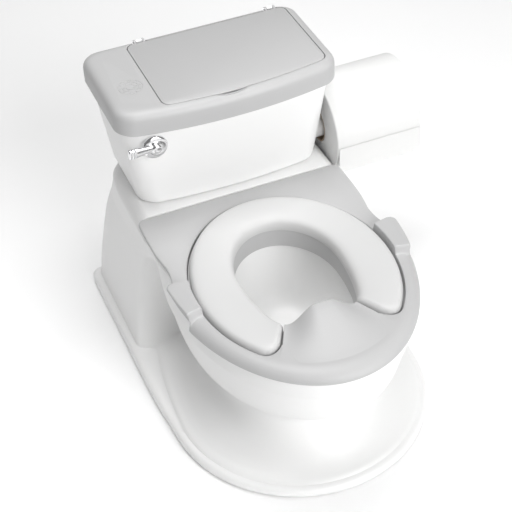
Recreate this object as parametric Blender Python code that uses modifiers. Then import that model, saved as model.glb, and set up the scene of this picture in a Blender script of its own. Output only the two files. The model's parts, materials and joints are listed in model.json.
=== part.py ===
"""Potty training chair: a small toilet-shaped potty with a padded lift-off seat, a lift-out pot,
a tank with a wipes compartment, a sprung flush lever with a sound module, and a paper roll holder.

Metres, +Z up, +X to the right of someone who faces the chair's front, the bowl towards -Y.
The origin lies on the floor, under the middle foot.
"""
import math

import bmesh
import bpy
from mathutils import Matrix, Vector

# ---------------------------------------------------------------- driving dimensions
GAP = 0.0003                 # running gap between faces that touch on the real object
WALL = 0.003                 # base shell
TANK_WALL = 0.0025

# base: rim outline, heights
RIM_HALF = 0.1425
RIM_REAR = 0.2015
RIM_FRONT_R = 0.1374
RIM_FRONT_Y = -0.0788
RIM_BOTTOM = 0.0010
RIM_TOP = 0.0116
BASE_TOP = 0.1560            # top of the pedestal, under the seat
SHELF_TOP = 0.1780           # shelf behind the deck, which carries the tank
DECK_RIM = 0.1732            # rim of the pedestal under the deck's edge
SEAT_RIM = 0.1660            # the same rim under the seat's front
SEAT_RIM_REAR = -0.0495      # where the rim steps up from one to the other
PLATE_Z = (0.0018, 0.0040)   # underside panel

# deck and seat
DECK_TOP = 0.1772
DECK_REAR = 0.0638
DECK_HALF = 0.1142
OPEN_A, OPEN_B, OPEN_Y = 0.1028, 0.1245, -0.0811    # deck opening, an ellipse
RING_A, RING_B, RING_Y = 0.1253, 0.1785, -0.0464    # seat outline in front of the grips
SEAT_Y = -0.070              # centre that the seat's sections are swept about
GRIP_ANGLES = (-13.5, 9.3)   # the side grips, degrees round that centre
GRIP_TOP = 0.1865
GUARD_ANGLE = 28.0           # half the angle of the splash guard
GUARD_RISE = 0.0130
HOLE_FRONT = -0.1445
RECESS_Z = 0.1685            # seat surface under the cushion
SEAT_UNDER = 0.1603
SKIRT_BOTTOM = 0.1470

# tank and lid
TANK_BOTTOM, TANK_TOP = 0.1783, 0.2820
TANK_BACK = 0.1925
LID_HALF, LID_FRONT, LID_BACK, LID_BOW = 0.1202, 0.0678, 0.1970, 0.0140
LID_BOTTOM, LID_TOP = 0.2808, 0.3055
LID_PLATE = 0.0028
FLAP_X = (-0.0705, 0.1090)
FLAP_INSET = 0.0110          # flap's front edge behind the lid's
FLAP_REAR = 0.1885
FLAP_THICK = 0.0022
HINGE_X = (-0.0545, 0.0945)
HINGE_Y, HINGE_Z = 0.1932, 0.3046

# flush lever
LEVER_X, LEVER_Z = -0.0852, 0.2625

# paper roll
ROLL_X = (0.1155, 0.2150)
ROLL_Y, ROLL_Z, ROLL_R = 0.1182, 0.1943, 0.0545
CORE_IN, CORE_OUT = 0.0195, 0.0206
TAIL_END = 0.1640

WHITE = (0.93, 0.93, 0.925)
GREY = (0.60, 0.60, 0.60)
LIGHT_GREY = (0.80, 0.80, 0.795)
DARK = (0.06, 0.06, 0.065)


# ---------------------------------------------------------------- scene and objects
for old in list(bpy.data.objects):
    bpy.data.objects.remove(old, do_unlink=True)

parts = bpy.data.collections.new("potty_chair")
cutters = bpy.data.collections.new("cutters")
bpy.context.scene.collection.children.link(parts)
bpy.context.scene.collection.children.link(cutters)


def make_material(name, color, roughness=0.4, metallic=0.0):
    mat = bpy.data.materials.new(name)
    mat.use_nodes = True
    shader = mat.node_tree.nodes["Principled BSDF"]
    shader.inputs["Base Color"].default_value = (*color, 1.0)
    shader.inputs["Roughness"].default_value = roughness
    shader.inputs["Metallic"].default_value = metallic
    mat.diffuse_color = (*color, 1.0)
    return mat


MATERIALS = {
    "white_plastic": make_material("white_plastic", WHITE, 0.32),
    "grey_plastic": make_material("grey_plastic", GREY, 0.38),
    "cushion_skin": make_material("cushion_skin", LIGHT_GREY, 0.48),
    "rubber": make_material("rubber", (0.28, 0.28, 0.28), 0.8),
    "chrome": make_material("chrome", (0.86, 0.86, 0.87), 0.08, 1.0),
    "steel": make_material("steel", (0.62, 0.62, 0.63), 0.3, 1.0),
    "dark_plastic": make_material("dark_plastic", DARK, 0.45),
    "board": make_material("board", (0.05, 0.22, 0.10), 0.5),
    "battery_jacket": make_material("battery_jacket", (0.16, 0.17, 0.19), 0.35, 0.4),
    "paper": make_material("paper", (0.95, 0.95, 0.94), 0.9),
    "cardboard": make_material("cardboard", (0.55, 0.43, 0.31), 0.9),
}


def add_object(name, mesh, material=None):
    obj = bpy.data.objects.new(name, mesh)
    if material:
        mesh.materials.append(MATERIALS[material])
        parts.objects.link(obj)
    else:
        cutters.objects.link(obj)
        obj.hide_render = True
        obj.display_type = "WIRE"
    return obj


def from_bmesh(name, bm, material=None, smooth=False):
    mesh = bpy.data.meshes.new(name)
    bmesh.ops.recalc_face_normals(bm, faces=bm.faces)
    bm.to_mesh(mesh)
    bm.free()
    if smooth:
        mesh.shade_smooth()
        mesh.set_sharp_from_angle(angle=math.radians(35))
    return add_object(name, mesh, material)


def boolean(obj, cutter, operation="DIFFERENCE"):
    mod = obj.modifiers.new(operation.lower(), "BOOLEAN")
    mod.object = cutter
    mod.operation = operation


def solidify(obj, thickness):
    mod = obj.modifiers.new("wall", "SOLIDIFY")
    mod.thickness = thickness
    mod.offset = -1.0
    mod.use_even_offset = True


def bevel(obj, width, segments=2, angle=35):
    mod = obj.modifiers.new("round", "BEVEL")
    mod.width = width
    mod.segments = segments
    mod.limit_method = "ANGLE"
    mod.angle_limit = math.radians(angle)


# ---------------------------------------------------------------- shapes
def box(name, low, high, material=None, rounding=0.0):
    bm = bmesh.new()
    low, high = Vector(low), Vector(high)
    place = Matrix.Translation((low + high) / 2) @ Matrix.Diagonal((*(high - low), 1.0))
    bmesh.ops.create_cube(bm, size=1.0, matrix=place)
    obj = from_bmesh(name, bm, material)
    if rounding:
        bevel(obj, rounding)
    return obj


AXIS_TURN = {
    "X": Matrix.Rotation(math.radians(90), 4, "Y"),
    "Y": Matrix.Rotation(math.radians(-90), 4, "X"),
    "Z": Matrix.Identity(4),
}


def rod(name, start, length, radius, axis="Z", material=None, segments=32, places=((0, 0, 0),)):
    """Cylinder from start along +axis; places makes a group of them in one cutter."""
    bm = bmesh.new()
    for place in places:
        spot = Matrix.Translation(Vector(start) + Vector(place)) @ AXIS_TURN[axis]
        bmesh.ops.create_cone(bm, cap_ends=True, segments=segments, radius1=radius, radius2=radius,
                              depth=length, matrix=spot @ Matrix.Translation((0, 0, length / 2)))
    return from_bmesh(name, bm, material, smooth=True)


def turned(name, profile, place, axis="Z", material=None, steps=32):
    """Closed turned solid: profile is (radius, height) down the outer side, top to bottom."""
    bm = bmesh.new()
    points = [bm.verts.new((radius, 0.0, height)) for radius, height in profile]
    for first, second in zip(points, points[1:]):
        bm.edges.new((first, second))
    if profile[0][0] > 1e-6:
        bm.edges.new((points[-1], points[0]))
    mesh = bpy.data.meshes.new(name)
    bm.to_mesh(mesh)
    bm.free()
    obj = add_object(name, mesh, material)
    obj.matrix_world = Matrix.Translation(place) @ AXIS_TURN[axis]
    mod = obj.modifiers.new("turn", "SCREW")
    mod.steps = mod.render_steps = steps
    mod.use_merge_vertices = True
    mod.merge_threshold = 0.00001
    return obj


def loft(name, rings, material=None, cap_low=True, cap_high=True, closed_loop=False):
    """Skin over rings of equal point counts; closed_loop joins the last ring to the first."""
    bm = bmesh.new()
    rows = [[bm.verts.new(point) for point in ring] for ring in rings]
    count = len(rows[0])
    pairs = list(zip(rows, rows[1:]))
    if closed_loop:
        pairs.append((rows[-1], rows[0]))
    for low, high in pairs:
        for i in range(count):
            j = (i + 1) % count
            bm.faces.new((low[i], low[j], high[j], high[i]))
    if cap_low and not closed_loop:
        bm.faces.new(rows[0][::-1])
    if cap_high and not closed_loop:
        bm.faces.new(rows[-1])
    return from_bmesh(name, bm, material, smooth=True)


def flat_ring(outline, z):
    return [(x, y, z) for x, y in outline]


def arc(center, radius, start, end, steps):
    """Points on a circular arc, angles in degrees."""
    points = []
    for i in range(steps + 1):
        angle = math.radians(start + (end - start) * i / steps)
        points.append((center[0] + radius * math.cos(angle), center[1] + radius * math.sin(angle)))
    return points


def rounded_box_outline(half, front, back, radius, bow=0.0, center=0.0, arc_steps=4, edge_steps=8):
    """Rounded rectangle in plan, its front edge bowed outwards; counter-clockwise."""
    points = []
    points += arc((center + half - radius, back - radius), radius, 0, 90, arc_steps)
    points += arc((center - half + radius, back - radius), radius, 90, 180, arc_steps)
    points += arc((center - half + radius, front + radius), radius, 180, 270, arc_steps)
    start, end = center - half + radius, center + half - radius
    points += [(start + (end - start) * i / edge_steps, front) for i in range(1, edge_steps)]
    points += arc((center + half - radius, front + radius), radius, 270, 360, arc_steps)
    depth = back - front
    bowed = []
    for x, y in points:
        share = max(0.0, 1.0 - ((x - center) / half) ** 2)
        bowed.append((x, y - bow * share * (back - y) / depth))
    return bowed


# ---------------------------------------------------------------- pedestal sections
SECTION_Y = 0.058            # every pedestal section is seen from here
SECTION_POINTS = 60
FRONT_POWER = 9


def ellipse_reach(angle, center_y, half, front, rear, origin_y):
    """Distance from (0, origin_y) to an egg: half wide, front and rear long, about center_y."""
    dx, dy = math.cos(angle), math.sin(angle)
    best = 0.0
    for length, wants_front in ((front, True), (rear, False)):
        a = (dx / half) ** 2 + (dy / length) ** 2
        b = 2 * dy * (origin_y - center_y) / length ** 2
        c = ((origin_y - center_y) / length) ** 2 - 1
        root = b * b - 4 * a * c
        if root < 0:
            continue
        reach = (-b + math.sqrt(root)) / (2 * a)
        y = origin_y + reach * dy
        if (y <= center_y) == wants_front:
            best = max(best, reach)
    return best


def box_reach(angle, half, front, rear, rear_power):
    """The column's outline; a higher power makes its corners tighter."""
    dx, dy = math.cos(angle), math.sin(angle)
    depth, power = (rear - SECTION_Y, rear_power) if dy >= 0 else (SECTION_Y - front, FRONT_POWER)
    return (abs(dx / half) ** power + abs(dy / depth) ** power) ** (-1 / power)


def pedestal_section(z, column, bowl, blend, inset=0.0):
    """Rear column and round bowl in one outline, with a soft hollow where they meet."""
    half, front, rear, power = column
    width, length_front, length_rear, center = bowl
    outline = []
    for i in range(SECTION_POINTS):
        angle = 2 * math.pi * i / SECTION_POINTS
        square = box_reach(angle, half - inset, front, rear - inset, power)
        egg = ellipse_reach(angle, center, width - inset, length_front - inset,
                            length_rear - inset, SECTION_Y)
        reach = (square ** blend + egg ** blend) ** (1 / blend)
        outline.append((reach * math.cos(angle), SECTION_Y + reach * math.sin(angle), z))
    return outline


RIM_COLUMN = (RIM_HALF, -0.125, RIM_REAR, 22)
RIM_BOWL = (RIM_FRONT_R, RIM_FRONT_R, 0.15, RIM_FRONT_Y)

# height, column (half width, front, rear, corner power), bowl (half width, front, rear, centre), blend
PEDESTAL = [
    (0.0128, (0.1335, 0.040, 0.1965, 22), (0.1300, 0.1300, 0.265, -0.0788), 24),
    (0.0150, (0.1330, 0.041, 0.1963, 22), (0.1270, 0.1270, 0.245, -0.0785), 22),
    (0.0180, (0.1325, 0.042, 0.1962, 22), (0.1205, 0.1205, 0.212, -0.0775), 18),
    (0.0240, (0.1315, 0.043, 0.1958, 22), (0.1110, 0.1140, 0.180, -0.0745), 14),
    (0.0360, (0.1297, 0.044, 0.1955, 20), (0.0970, 0.1080, 0.150, -0.0670), 12),
    (0.0500, (0.1278, 0.044, 0.1950, 20), (0.0880, 0.1060, 0.134, -0.0600), 10),
    (0.0600, (0.1266, 0.044, 0.1946, 19), (0.0860, 0.1065, 0.130, -0.0580), 10),
    (0.0700, (0.1254, 0.043, 0.1943, 18), (0.0900, 0.1130, 0.134, -0.0560), 10),
    (0.0830, (0.1240, 0.042, 0.1940, 17), (0.1000, 0.1330, 0.140, -0.0530), 11),
    (0.0960, (0.1217, 0.040, 0.1938, 15), (0.1065, 0.1500, 0.146, -0.0510), 12),
    (0.1150, (0.1190, 0.038, 0.1935, 12), (0.1115, 0.1630, 0.152, -0.0490), 14),
    (0.1410, (0.1149, 0.034, 0.1932, 8), (0.1145, 0.1690, 0.170, -0.0470), 16),
    (0.1424, (0.1149, 0.034, 0.1932, 8), (0.1162, 0.1708, 0.170, -0.0470), 18),
    (BASE_TOP, (0.1146, 0.024, 0.1930, 6), (0.1172, 0.1720, 0.210, -0.0468), 30),
    (0.1660, (0.1143, 0.012, 0.1928, 5.3), (0.1172, 0.1720, 0.230, -0.0468), 50),
    (0.1740, (0.1140, 0.010, 0.1928, 5), (0.1172, 0.1720, 0.230, -0.0468), 50),
]


def rim_section(z, inset):
    return pedestal_section(z, RIM_COLUMN, RIM_BOWL, 60, inset)


BOWL_RIM = PEDESTAL[-1][2]


# ---------------------------------------------------------------- base
def make_base():
    rings = [rim_section(RIM_BOTTOM, 0.0030), rim_section(0.0030, 0.0006), rim_section(0.0055, 0.0),
             rim_section(0.0090, 0.0005), rim_section(RIM_TOP, 0.0035), rim_section(0.0123, 0.0075)]
    rings += [pedestal_section(*level) for level in PEDESTAL]
    top = PEDESTAL[-1][1:]
    rings += [pedestal_section(SHELF_TOP - 0.0012, *top, 0.0018),
              pedestal_section(SHELF_TOP, *top, 0.0055)]
    base = loft("base_shell", rings, "white_plastic")

    # a rim stands round the lower level that carries the pot, the seat and the deck
    boolean(base, box("cut_over_deck_rim", (-0.2, -0.3, DECK_RIM), (0.2, DECK_REAR + GAP, 0.2)))
    boolean(base, box("cut_over_seat_rim", (-0.2, -0.3, SEAT_RIM), (0.2, SEAT_RIM_REAR, 0.2)))
    pocket = loft("cut_pocket", [pedestal_section(BASE_TOP, *PEDESTAL[-3][1:], WALL),
                                 pedestal_section(0.1660, *PEDESTAL[-2][1:], WALL),
                                 pedestal_section(0.1900, *top, WALL)])
    boolean(pocket, box("keep_pocket_front", (-0.2, -0.3, 0.1), (0.2, DECK_REAR + GAP, 0.2)), "INTERSECT")
    boolean(base, pocket)

    inside = [rim_section(-0.01, WALL), rim_section(0.0085, WALL)]
    inside += [pedestal_section(z - (WALL if z < 0.05 else 0.0), column, bowl, blend, WALL)
               for z, column, bowl, blend in PEDESTAL if z < BASE_TOP - WALL]
    inside.append(pedestal_section(BASE_TOP - WALL, *PEDESTAL[-3][1:], WALL))
    boolean(base, loft("cut_inside", inside))
    shelf = loft("cut_shelf", [pedestal_section(0.1500, *top, 0.0045),
                               pedestal_section(SHELF_TOP - WALL, *top, 0.0075)])
    boolean(shelf, box("keep_shelf_rear", (-0.2, DECK_REAR + GAP + WALL, 0.1), (0.2, 0.3, 0.2)),
            "INTERSECT")
    boolean(base, shelf)

    opening = egg_outline(POT_HALF + 0.0052, POT_FRONT + 0.0052, POT_REAR + 0.0052)
    boolean(base, loft("cut_pot", [flat_ring(opening, 0.140), flat_ring(opening, 0.170)]))

    bosses = rod("add_bosses", (0, 0, 0.1600), 0.0165, 0.0048, places=TANK_SCREWS, segments=20)
    boolean(base, bosses, "UNION")
    boolean(base, rod("cut_tank_screws", (0, 0, 0.1550), 0.03, 0.0019, places=TANK_SCREWS,
                      segments=16))
    boolean(base, rod("cut_deck_screws", (0, 0, 0.1480), 0.02, 0.0019, places=DECK_SCREWS,
                      segments=16))
    for side, (spots, top) in {"rear": (PLATE_SCREWS[:2], 0.0460),
                               "front": (PLATE_SCREWS[2:], 0.0215)}.items():
        pillar = rod("add_pillars_" + side, (0, 0, 0.0043), top - 0.0043, 0.0048, places=spots,
                     segments=20)
        boolean(base, pillar, "UNION")
    boolean(base, rod("cut_plate_screws", (0, 0, 0.0), 0.0150, 0.0018, places=PLATE_SCREWS,
                      segments=16))
    return base


TANK_SCREWS = [(x, y, 0.0) for x in (-0.070, 0.070) for y in (0.105, 0.165)]
DECK_SCREWS = [(-0.094, 0.050, 0.0), (0.094, 0.050, 0.0), (-0.050, 0.052, 0.0), (0.050, 0.052, 0.0)]
PLATE_SCREWS = [(-0.1225, 0.130, 0.0), (0.1225, 0.130, 0.0),
                (-0.080, -0.145, 0.0), (0.080, -0.145, 0.0)]
FEET = [(0.0, 0.0, 0.0), (-0.110, 0.170, 0.0), (0.110, 0.170, 0.0),
        (-0.085, -0.125, 0.0), (0.085, -0.125, 0.0)]


def screw(name, place, up, length, head=0.0034, shank=0.0015):
    """Pan-head screw; the head's flat side lies at place and the shank points to up (+1 or -1)."""
    profile = [(0.0, 0.0022), (head * 0.75, 0.0020), (head, 0.0010), (head, 0.0),
               (shank, 0.0), (shank, -length + shank), (0.0, -length)]
    obj = turned(name, profile, place, "Z", "steel", steps=12)
    if up > 0:
        obj.matrix_world = Matrix.Translation(place) @ Matrix.Rotation(math.pi, 4, "X")
    return obj


def make_underside():
    low, high = PLATE_Z
    outline = rim_section(low, WALL + 0.0028)
    top = [(x, y, high) for x, y, z in outline]
    plate = loft("base_plate", [outline, top], "white_plastic")
    boolean(plate, rod("cut_feet", (0, 0, -0.001), 0.01, 0.0027, places=FEET, segments=20))
    boolean(plate, rod("cut_plate", (0, 0, -0.001), 0.01, 0.0019, places=PLATE_SCREWS, segments=16))
    for number, (x, y, z) in enumerate(FEET, 1):
        profile = [(0.0, 0.0062), (0.0022, 0.0058), (0.0023, 0.0015), (0.0085, 0.0015),
                   (0.0092, 0.0009), (0.0088, 0.0), (0.0, 0.0)]
        turned(f"foot_{number}", profile, (x, y, 0.0), "Z", "rubber", steps=14)
    for number, (x, y, z) in enumerate(PLATE_SCREWS, 1):
        head = turned(f"plate_screw_{number}",
                      [(0.0, 0.0130), (0.0014, 0.0120), (0.0015, low - GAP), (0.0032, low - GAP),
                       (0.0030, 0.0005), (0.0, 0.0005)], (x, y, 0.0), "Z", "steel", steps=12)
        head.matrix_world = Matrix.Translation((x, y, 0.0))


# ---------------------------------------------------------------- pot
POT_Y, POT_HALF, POT_FRONT, POT_REAR = -0.075, 0.0660, 0.0950, 0.0820


def egg_outline(half, front, rear, center=POT_Y, points=40):
    outline = []
    for i in range(points):
        angle = 2 * math.pi * i / points
        length = rear if math.sin(angle) >= 0 else front
        outline.append((half * math.cos(angle), center + length * math.sin(angle)))
    return outline


def make_pot():
    # (share of the rim's size, height), outside from the flange down, then up the inside
    outside = [(1.17, 0.1583), (1.17, 0.1563), (1.055, 0.1563), (1.035, 0.1500), (1.0, 0.125),
               (0.93, 0.105), (0.80, 0.085), (0.62, 0.0745), (0.40, 0.0705)]
    inside = [(0.38, 0.0730), (0.60, 0.0772), (0.77, 0.0872), (0.895, 0.1065), (0.96, 0.126),
              (0.995, 0.1500), (1.01, 0.1583)]
    rings = []
    for share, z in outside + inside:
        rings.append(flat_ring(egg_outline(POT_HALF * share, POT_FRONT * share, POT_REAR * share), z))
    # the outer and inner skins both end in a flat floor
    bm = bmesh.new()
    skins = []
    for group in (rings[:len(outside)], rings[len(outside):]):
        rows = [[bm.verts.new(point) for point in ring] for ring in group]
        for upper, lower in zip(rows, rows[1:]):
            for i in range(len(upper)):
                j = (i + 1) % len(upper)
                bm.faces.new((upper[i], upper[j], lower[j], lower[i]))
        skins.append(rows)
    bm.faces.new(skins[0][-1])
    bm.faces.new(skins[1][0])
    top_out, top_in = skins[0][0], skins[1][-1]
    for i in range(len(top_out)):
        j = (i + 1) % len(top_out)
        bm.faces.new((top_out[i], top_out[j], top_in[j], top_in[i]))
    return from_bmesh("potty_bowl", bm, "white_plastic", smooth=True)


# ---------------------------------------------------------------- deck
def make_deck():
    end = math.radians(GRIP_ANGLES[1] + 0.5)
    # right half, from the middle of the rear edge round to the middle of the opening
    side = [(DECK_HALF + 0.0002, 0.0420), (DECK_HALF + 0.0001, 0.0240), (DECK_HALF - 0.0004, 0.0060),
            (DECK_HALF - 0.0018, -0.0140), (DECK_HALF - 0.0016, -0.0290)]
    reach_out = DECK_HALF - 0.0002
    front_out = (reach_out, SEAT_Y + reach_out * math.tan(end))
    half = [(0.0, DECK_REAR), (0.050, DECK_REAR)]
    half += arc((DECK_HALF - 0.008, DECK_REAR - 0.008), 0.008, 90, 0, 5)
    half += side + [front_out]
    inner = []
    steps = 22
    first = math.asin((SEAT_Y + 0.1 * math.tan(end) - OPEN_Y) / OPEN_B)
    for i in range(steps + 1):
        angle = first + (math.pi / 2 - first) * i / steps
        inner.append((OPEN_A * math.cos(angle), OPEN_Y + OPEN_B * math.sin(angle)))
    half += inner
    inner_left = [(-x, y) for x, y in half[1:-1]][::-1]
    outline = half + inner_left
    bm = bmesh.new()
    top = [bm.verts.new((x, y, DECK_TOP)) for x, y in outline]
    low = [bm.verts.new((x, y, DECK_RIM + GAP)) for x, y in outline]
    bm.faces.new(top)
    for i in range(len(outline)):
        j = (i + 1) % len(outline)
        bm.faces.new((top[i], low[i], low[j], top[j]))
    deck = from_bmesh("seat_deck", bm, "grey_plastic")
    bevel(deck, 0.0012, 1, 60)
    solidify(deck, 0.0022)
    boolean(deck, rod("add_deck_bosses", (0, 0, BASE_TOP + GAP), 0.0195, 0.0042, places=DECK_SCREWS,
                      segments=20), "UNION")
    boolean(deck, rod("cut_deck", (0, 0, 0.150), 0.0215, 0.0018, places=DECK_SCREWS, segments=16))
    for number, (x, y, z) in enumerate(DECK_SCREWS, 1):
        screw(f"deck_screw_{number}", (x, y, BASE_TOP - WALL - GAP), 1, 0.016)
    return deck


# ---------------------------------------------------------------- seat
def egg_reach(angle, half, front, rear, center):
    return ellipse_reach(angle, center, half, front, rear, SEAT_Y)


def hole_reach(angle):
    """Seat hole: an egg, cut straight across by the splash guard."""
    egg = egg_reach(angle, 0.0535, 0.110, 0.069, -0.068)
    if math.sin(angle) >= -0.2:
        return egg
    line = (HOLE_FRONT - SEAT_Y) / math.sin(angle)
    return (egg ** -14 + line ** -14) ** (-1 / 14)


def folded(angle):
    """Angle in degrees from the +X side, the left half folded onto the right."""
    degrees = math.degrees(angle) % 360
    degrees = degrees - 360 if degrees > 270 else degrees
    return 180 - degrees if degrees > 90 else degrees


def smooth_step(value, low, high):
    t = min(1.0, max(0.0, (value - low) / (high - low)))
    return t * t * (3 - 2 * t)


def seat_angles():
    """Angles of the seat's sections, closer together at the grips and the guard."""
    right = [-90 + 6.0 * i for i in range(10)]
    right += [-90 + GUARD_ANGLE + 0.6, -90 + GUARD_ANGLE - 0.6, -33, -29, -25, -21, -17.5]
    right += [GRIP_ANGLES[0] - 0.8, GRIP_ANGLES[0] + 0.8, -8, -2, 4, GRIP_ANGLES[1] - 0.6,
              GRIP_ANGLES[1], GRIP_ANGLES[1] + 0.5]
    right += [16 + 7.4 * i for i in range(11)]
    right = sorted(set(angle for angle in right if -90 <= angle <= 90))
    left = [180 - angle for angle in right[::-1] if -90 < angle < 90]
    return [math.radians(angle) for angle in right + left]


def seat_section(angle):
    degrees = folded(angle)
    hole = hole_reach(angle)
    opening = ellipse_reach(angle, OPEN_Y, OPEN_A, OPEN_B, OPEN_B, SEAT_Y)
    in_front = degrees < GRIP_ANGLES[1] + 0.25
    on_grip = GRIP_ANGLES[0] <= degrees < GRIP_ANGLES[1] + 0.25
    on_guard = degrees < -90 + GUARD_ANGLE
    if in_front:
        outer = ellipse_reach(angle, RING_Y, RING_A, RING_B, RING_B, SEAT_Y)
        rim_in = opening
    else:
        outer = opening - 0.0007
        rim_in = outer - 0.0014
    band = outer - rim_in
    if on_grip:
        rim = [(rim_in, GRIP_TOP - 0.0010), (rim_in + 0.002, GRIP_TOP),
               (outer - 0.0045, GRIP_TOP), (outer - 0.0012, GRIP_TOP - 0.0014),
               (outer, GRIP_TOP - 0.0045)]
    elif in_front:
        rim = [(rim_in, 0.1785), (rim_in + 0.28 * band, 0.1782), (rim_in + 0.60 * band, 0.1758),
               (rim_in + 0.88 * band, 0.1715), (outer, 0.1682)]
    else:
        rim = [(rim_in, 0.1742), (rim_in + 0.0003, 0.1744), (outer - 0.0006, 0.1744),
               (outer - 0.0001, 0.1742), (outer, 0.1700)]
    if on_guard:
        # the surface under the lobes' ends is filled up to the rim and swells into the guard
        side = abs(hole * math.cos(angle))
        rise = GUARD_RISE * (1 - smooth_step(side, 0.010, 0.037))
        floor = []
        for share in (0.0, 0.10, 0.42, 0.72):
            lift = rise * (1 - smooth_step(share, 0.12, 1.15))
            floor.append((hole + share * (rim_in - hole) + 0.0012 * (share == 0.10),
                          0.1772 + lift - 0.0012 * (share == 0.0)))
        tail = rise * (1 - smooth_step(1.0, 0.12, 1.15))
        rim = [(radius, z + tail * (1 - i / 4) if i < 2 else z) for i, (radius, z) in enumerate(rim)]
    else:
        floor = [(hole, RECESS_Z), (hole + 0.3 * (rim_in - hole), RECESS_Z),
                 (hole + 0.7 * (rim_in - hole), RECESS_Z), (rim_in - 0.0002, RECESS_Z)]
    # in front the ring laps over the pedestal's rim and drops inside it
    if in_front:
        drop = ellipse_reach(angle, BOWL_RIM[3], *BOWL_RIM[:3], SEAT_Y) - WALL - 0.0026
        edge = outer - (0.0052 if on_grip else 0.0006)
        under = [(edge, SEAT_RIM + 0.0008), (edge - 0.0006, SEAT_RIM + GAP), (drop, SEAT_RIM + GAP)]
    else:
        drop = outer - 0.0004
        under = [(outer, 0.1680), (outer - 0.0002, SEAT_RIM + GAP + 0.0001), (drop, SEAT_RIM + GAP)]
    under += [(drop, SEAT_UNDER), (hole + 0.0030, SEAT_UNDER), (hole + 0.0024, SKIRT_BOTTOM),
              (hole, SKIRT_BOTTOM)]
    dx, dy = math.cos(angle), math.sin(angle)
    return [(radius * dx, SEAT_Y + radius * dy, z) for radius, z in floor + rim + under]


def make_seat():
    loft("seat_ring", [seat_section(angle) for angle in seat_angles()], "grey_plastic",
         closed_loop=True)
    for number, degrees in enumerate((-52, 28, 152, 232), 1):
        angle = math.radians(degrees)
        reach = (hole_reach(angle) + ellipse_reach(angle, OPEN_Y, OPEN_A, OPEN_B, OPEN_B, SEAT_Y)) / 2
        x, y = (reach + 0.006) * math.cos(angle), SEAT_Y + (reach + 0.006) * math.sin(angle)
        turned(f"grip_pad_{number}",
               [(0.0, 0.1600), (0.0055, 0.1600), (0.0060, 0.1596), (0.0060, 0.1567),
                (0.0055, BASE_TOP + GAP), (0.0, BASE_TOP + GAP)], (x, y, 0.0), "Z", "rubber", steps=16)


def cushion_section(degrees):
    """One crowned cross-section of the horseshoe pad; degrees run from lobe to lobe."""
    angle = math.radians(degrees)
    end = min(degrees - (-90 + GUARD_ANGLE), 270 - GUARD_ANGLE - degrees)
    hole = hole_reach(angle) - 0.0004
    opening = ellipse_reach(angle, OPEN_Y, OPEN_A, OPEN_B, OPEN_B, SEAT_Y)
    outer = opening - 0.0028
    t = min(1.0, (end + 0.4) / 15.0)
    outer = hole + (outer - hole) * (0.46 + 0.54 * math.sqrt(1 - (1 - t) ** 2))
    width = outer - hole
    height = 0.60 + 0.40 * min(1.0, end / 5.0)
    crown = [(0.0, 0.0), (0.0, 0.0035), (0.10, 0.0082), (0.32, 0.0128), (0.58, 0.0150),
             (0.82, 0.0138), (0.96, 0.0098), (1.0, 0.0050), (0.99, 0.0)]
    z_low = RECESS_Z + GAP
    return [((hole + share * width) * math.cos(angle), SEAT_Y + (hole + share * width) * math.sin(angle),
             z_low + rise * height) for share, rise in crown]


def make_cushion():
    first = -90 + GUARD_ANGLE + 1.2
    last = 270 - GUARD_ANGLE - 1.2
    early = [first + step for step in (0.0, 1.5, 3.5, 6.0, 9.0, 12.0)]
    late = [last - step for step in (12.0, 9.0, 6.0, 3.5, 1.5, 0.0)]
    middle = [early[-1] + (late[0] - early[-1]) * i / 30 for i in range(1, 30)]
    loft("seat_cushion", [cushion_section(degrees) for degrees in early + middle + late],
         "cushion_skin")


# ---------------------------------------------------------------- tank
def tank_level(z, inset=0.0, grow=0.0):
    share = (z - TANK_BOTTOM) / (TANK_TOP - TANK_BOTTOM)
    half = 0.1010 + 0.0143 * share - inset + grow
    front = 0.0815 - 0.0095 * share + inset - grow
    back = TANK_BACK - inset + grow
    bow = 0.0080 + 0.0050 * share
    return flat_ring(rounded_box_outline(half, front, back, 0.020 - 0.7 * inset, bow), z)


def tank_form(name, grow, low=TANK_BOTTOM, high=TANK_TOP):
    """Cutter with the tank's own outer shape, a little larger."""
    return loft(name, [tank_level(low, grow=grow), tank_level(high, grow=grow)])


def make_tank():
    rings = [tank_level(TANK_BOTTOM, 0.0045), tank_level(0.1790, 0.0022), tank_level(0.1805, 0.0008),
             tank_level(0.1835, 0.0), tank_level(0.2150), tank_level(0.2480), tank_level(TANK_TOP)]
    tank = loft("tank_body", rings, "white_plastic", cap_high=False)
    solidify(tank, TANK_WALL)
    boolean(tank, rod("cut_tank_floor", (0, 0, 0.17), 0.02, 0.0019, places=TANK_SCREWS, segments=16))
    boolean(tank, rod("cut_lever", (LEVER_X, 0.055, LEVER_Z), 0.03, 0.0053, "Y", segments=28))
    boolean(tank, rod("cut_spindle", (0.090, ROLL_Y, ROLL_Z), 0.03, 0.0022, "X", segments=16))
    low, high = BATTERY_DOOR
    boolean(tank, box("cut_battery", (low[0] - GAP, 0.180, low[2] - GAP),
                      (high[0] + GAP, 0.2, high[2] + GAP)))
    for number, (x, y, z) in enumerate(TANK_SCREWS, 1):
        screw(f"tank_screw_{number}", (x, y, TANK_BOTTOM + TANK_WALL + GAP), -1, 0.017)
    return tank


def flap_outline(shrink=0.0):
    """Flap in plan: the front edge keeps the lid's bow, the corners are round."""
    half = (FLAP_X[1] - FLAP_X[0]) / 2 - shrink
    center = (FLAP_X[1] + FLAP_X[0]) / 2
    outline = rounded_box_outline(half, LID_FRONT + FLAP_INSET + shrink, FLAP_REAR - shrink, 0.0080,
                                  center=center, edge_steps=10)
    depth = FLAP_REAR - LID_FRONT - FLAP_INSET
    bowed = []
    for x, y in outline:
        share = 1 - (x / LID_HALF) ** 2
        bowed.append((x, y - LID_BOW * share * max(0.0, FLAP_REAR - shrink - y) / depth))
    return bowed


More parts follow.
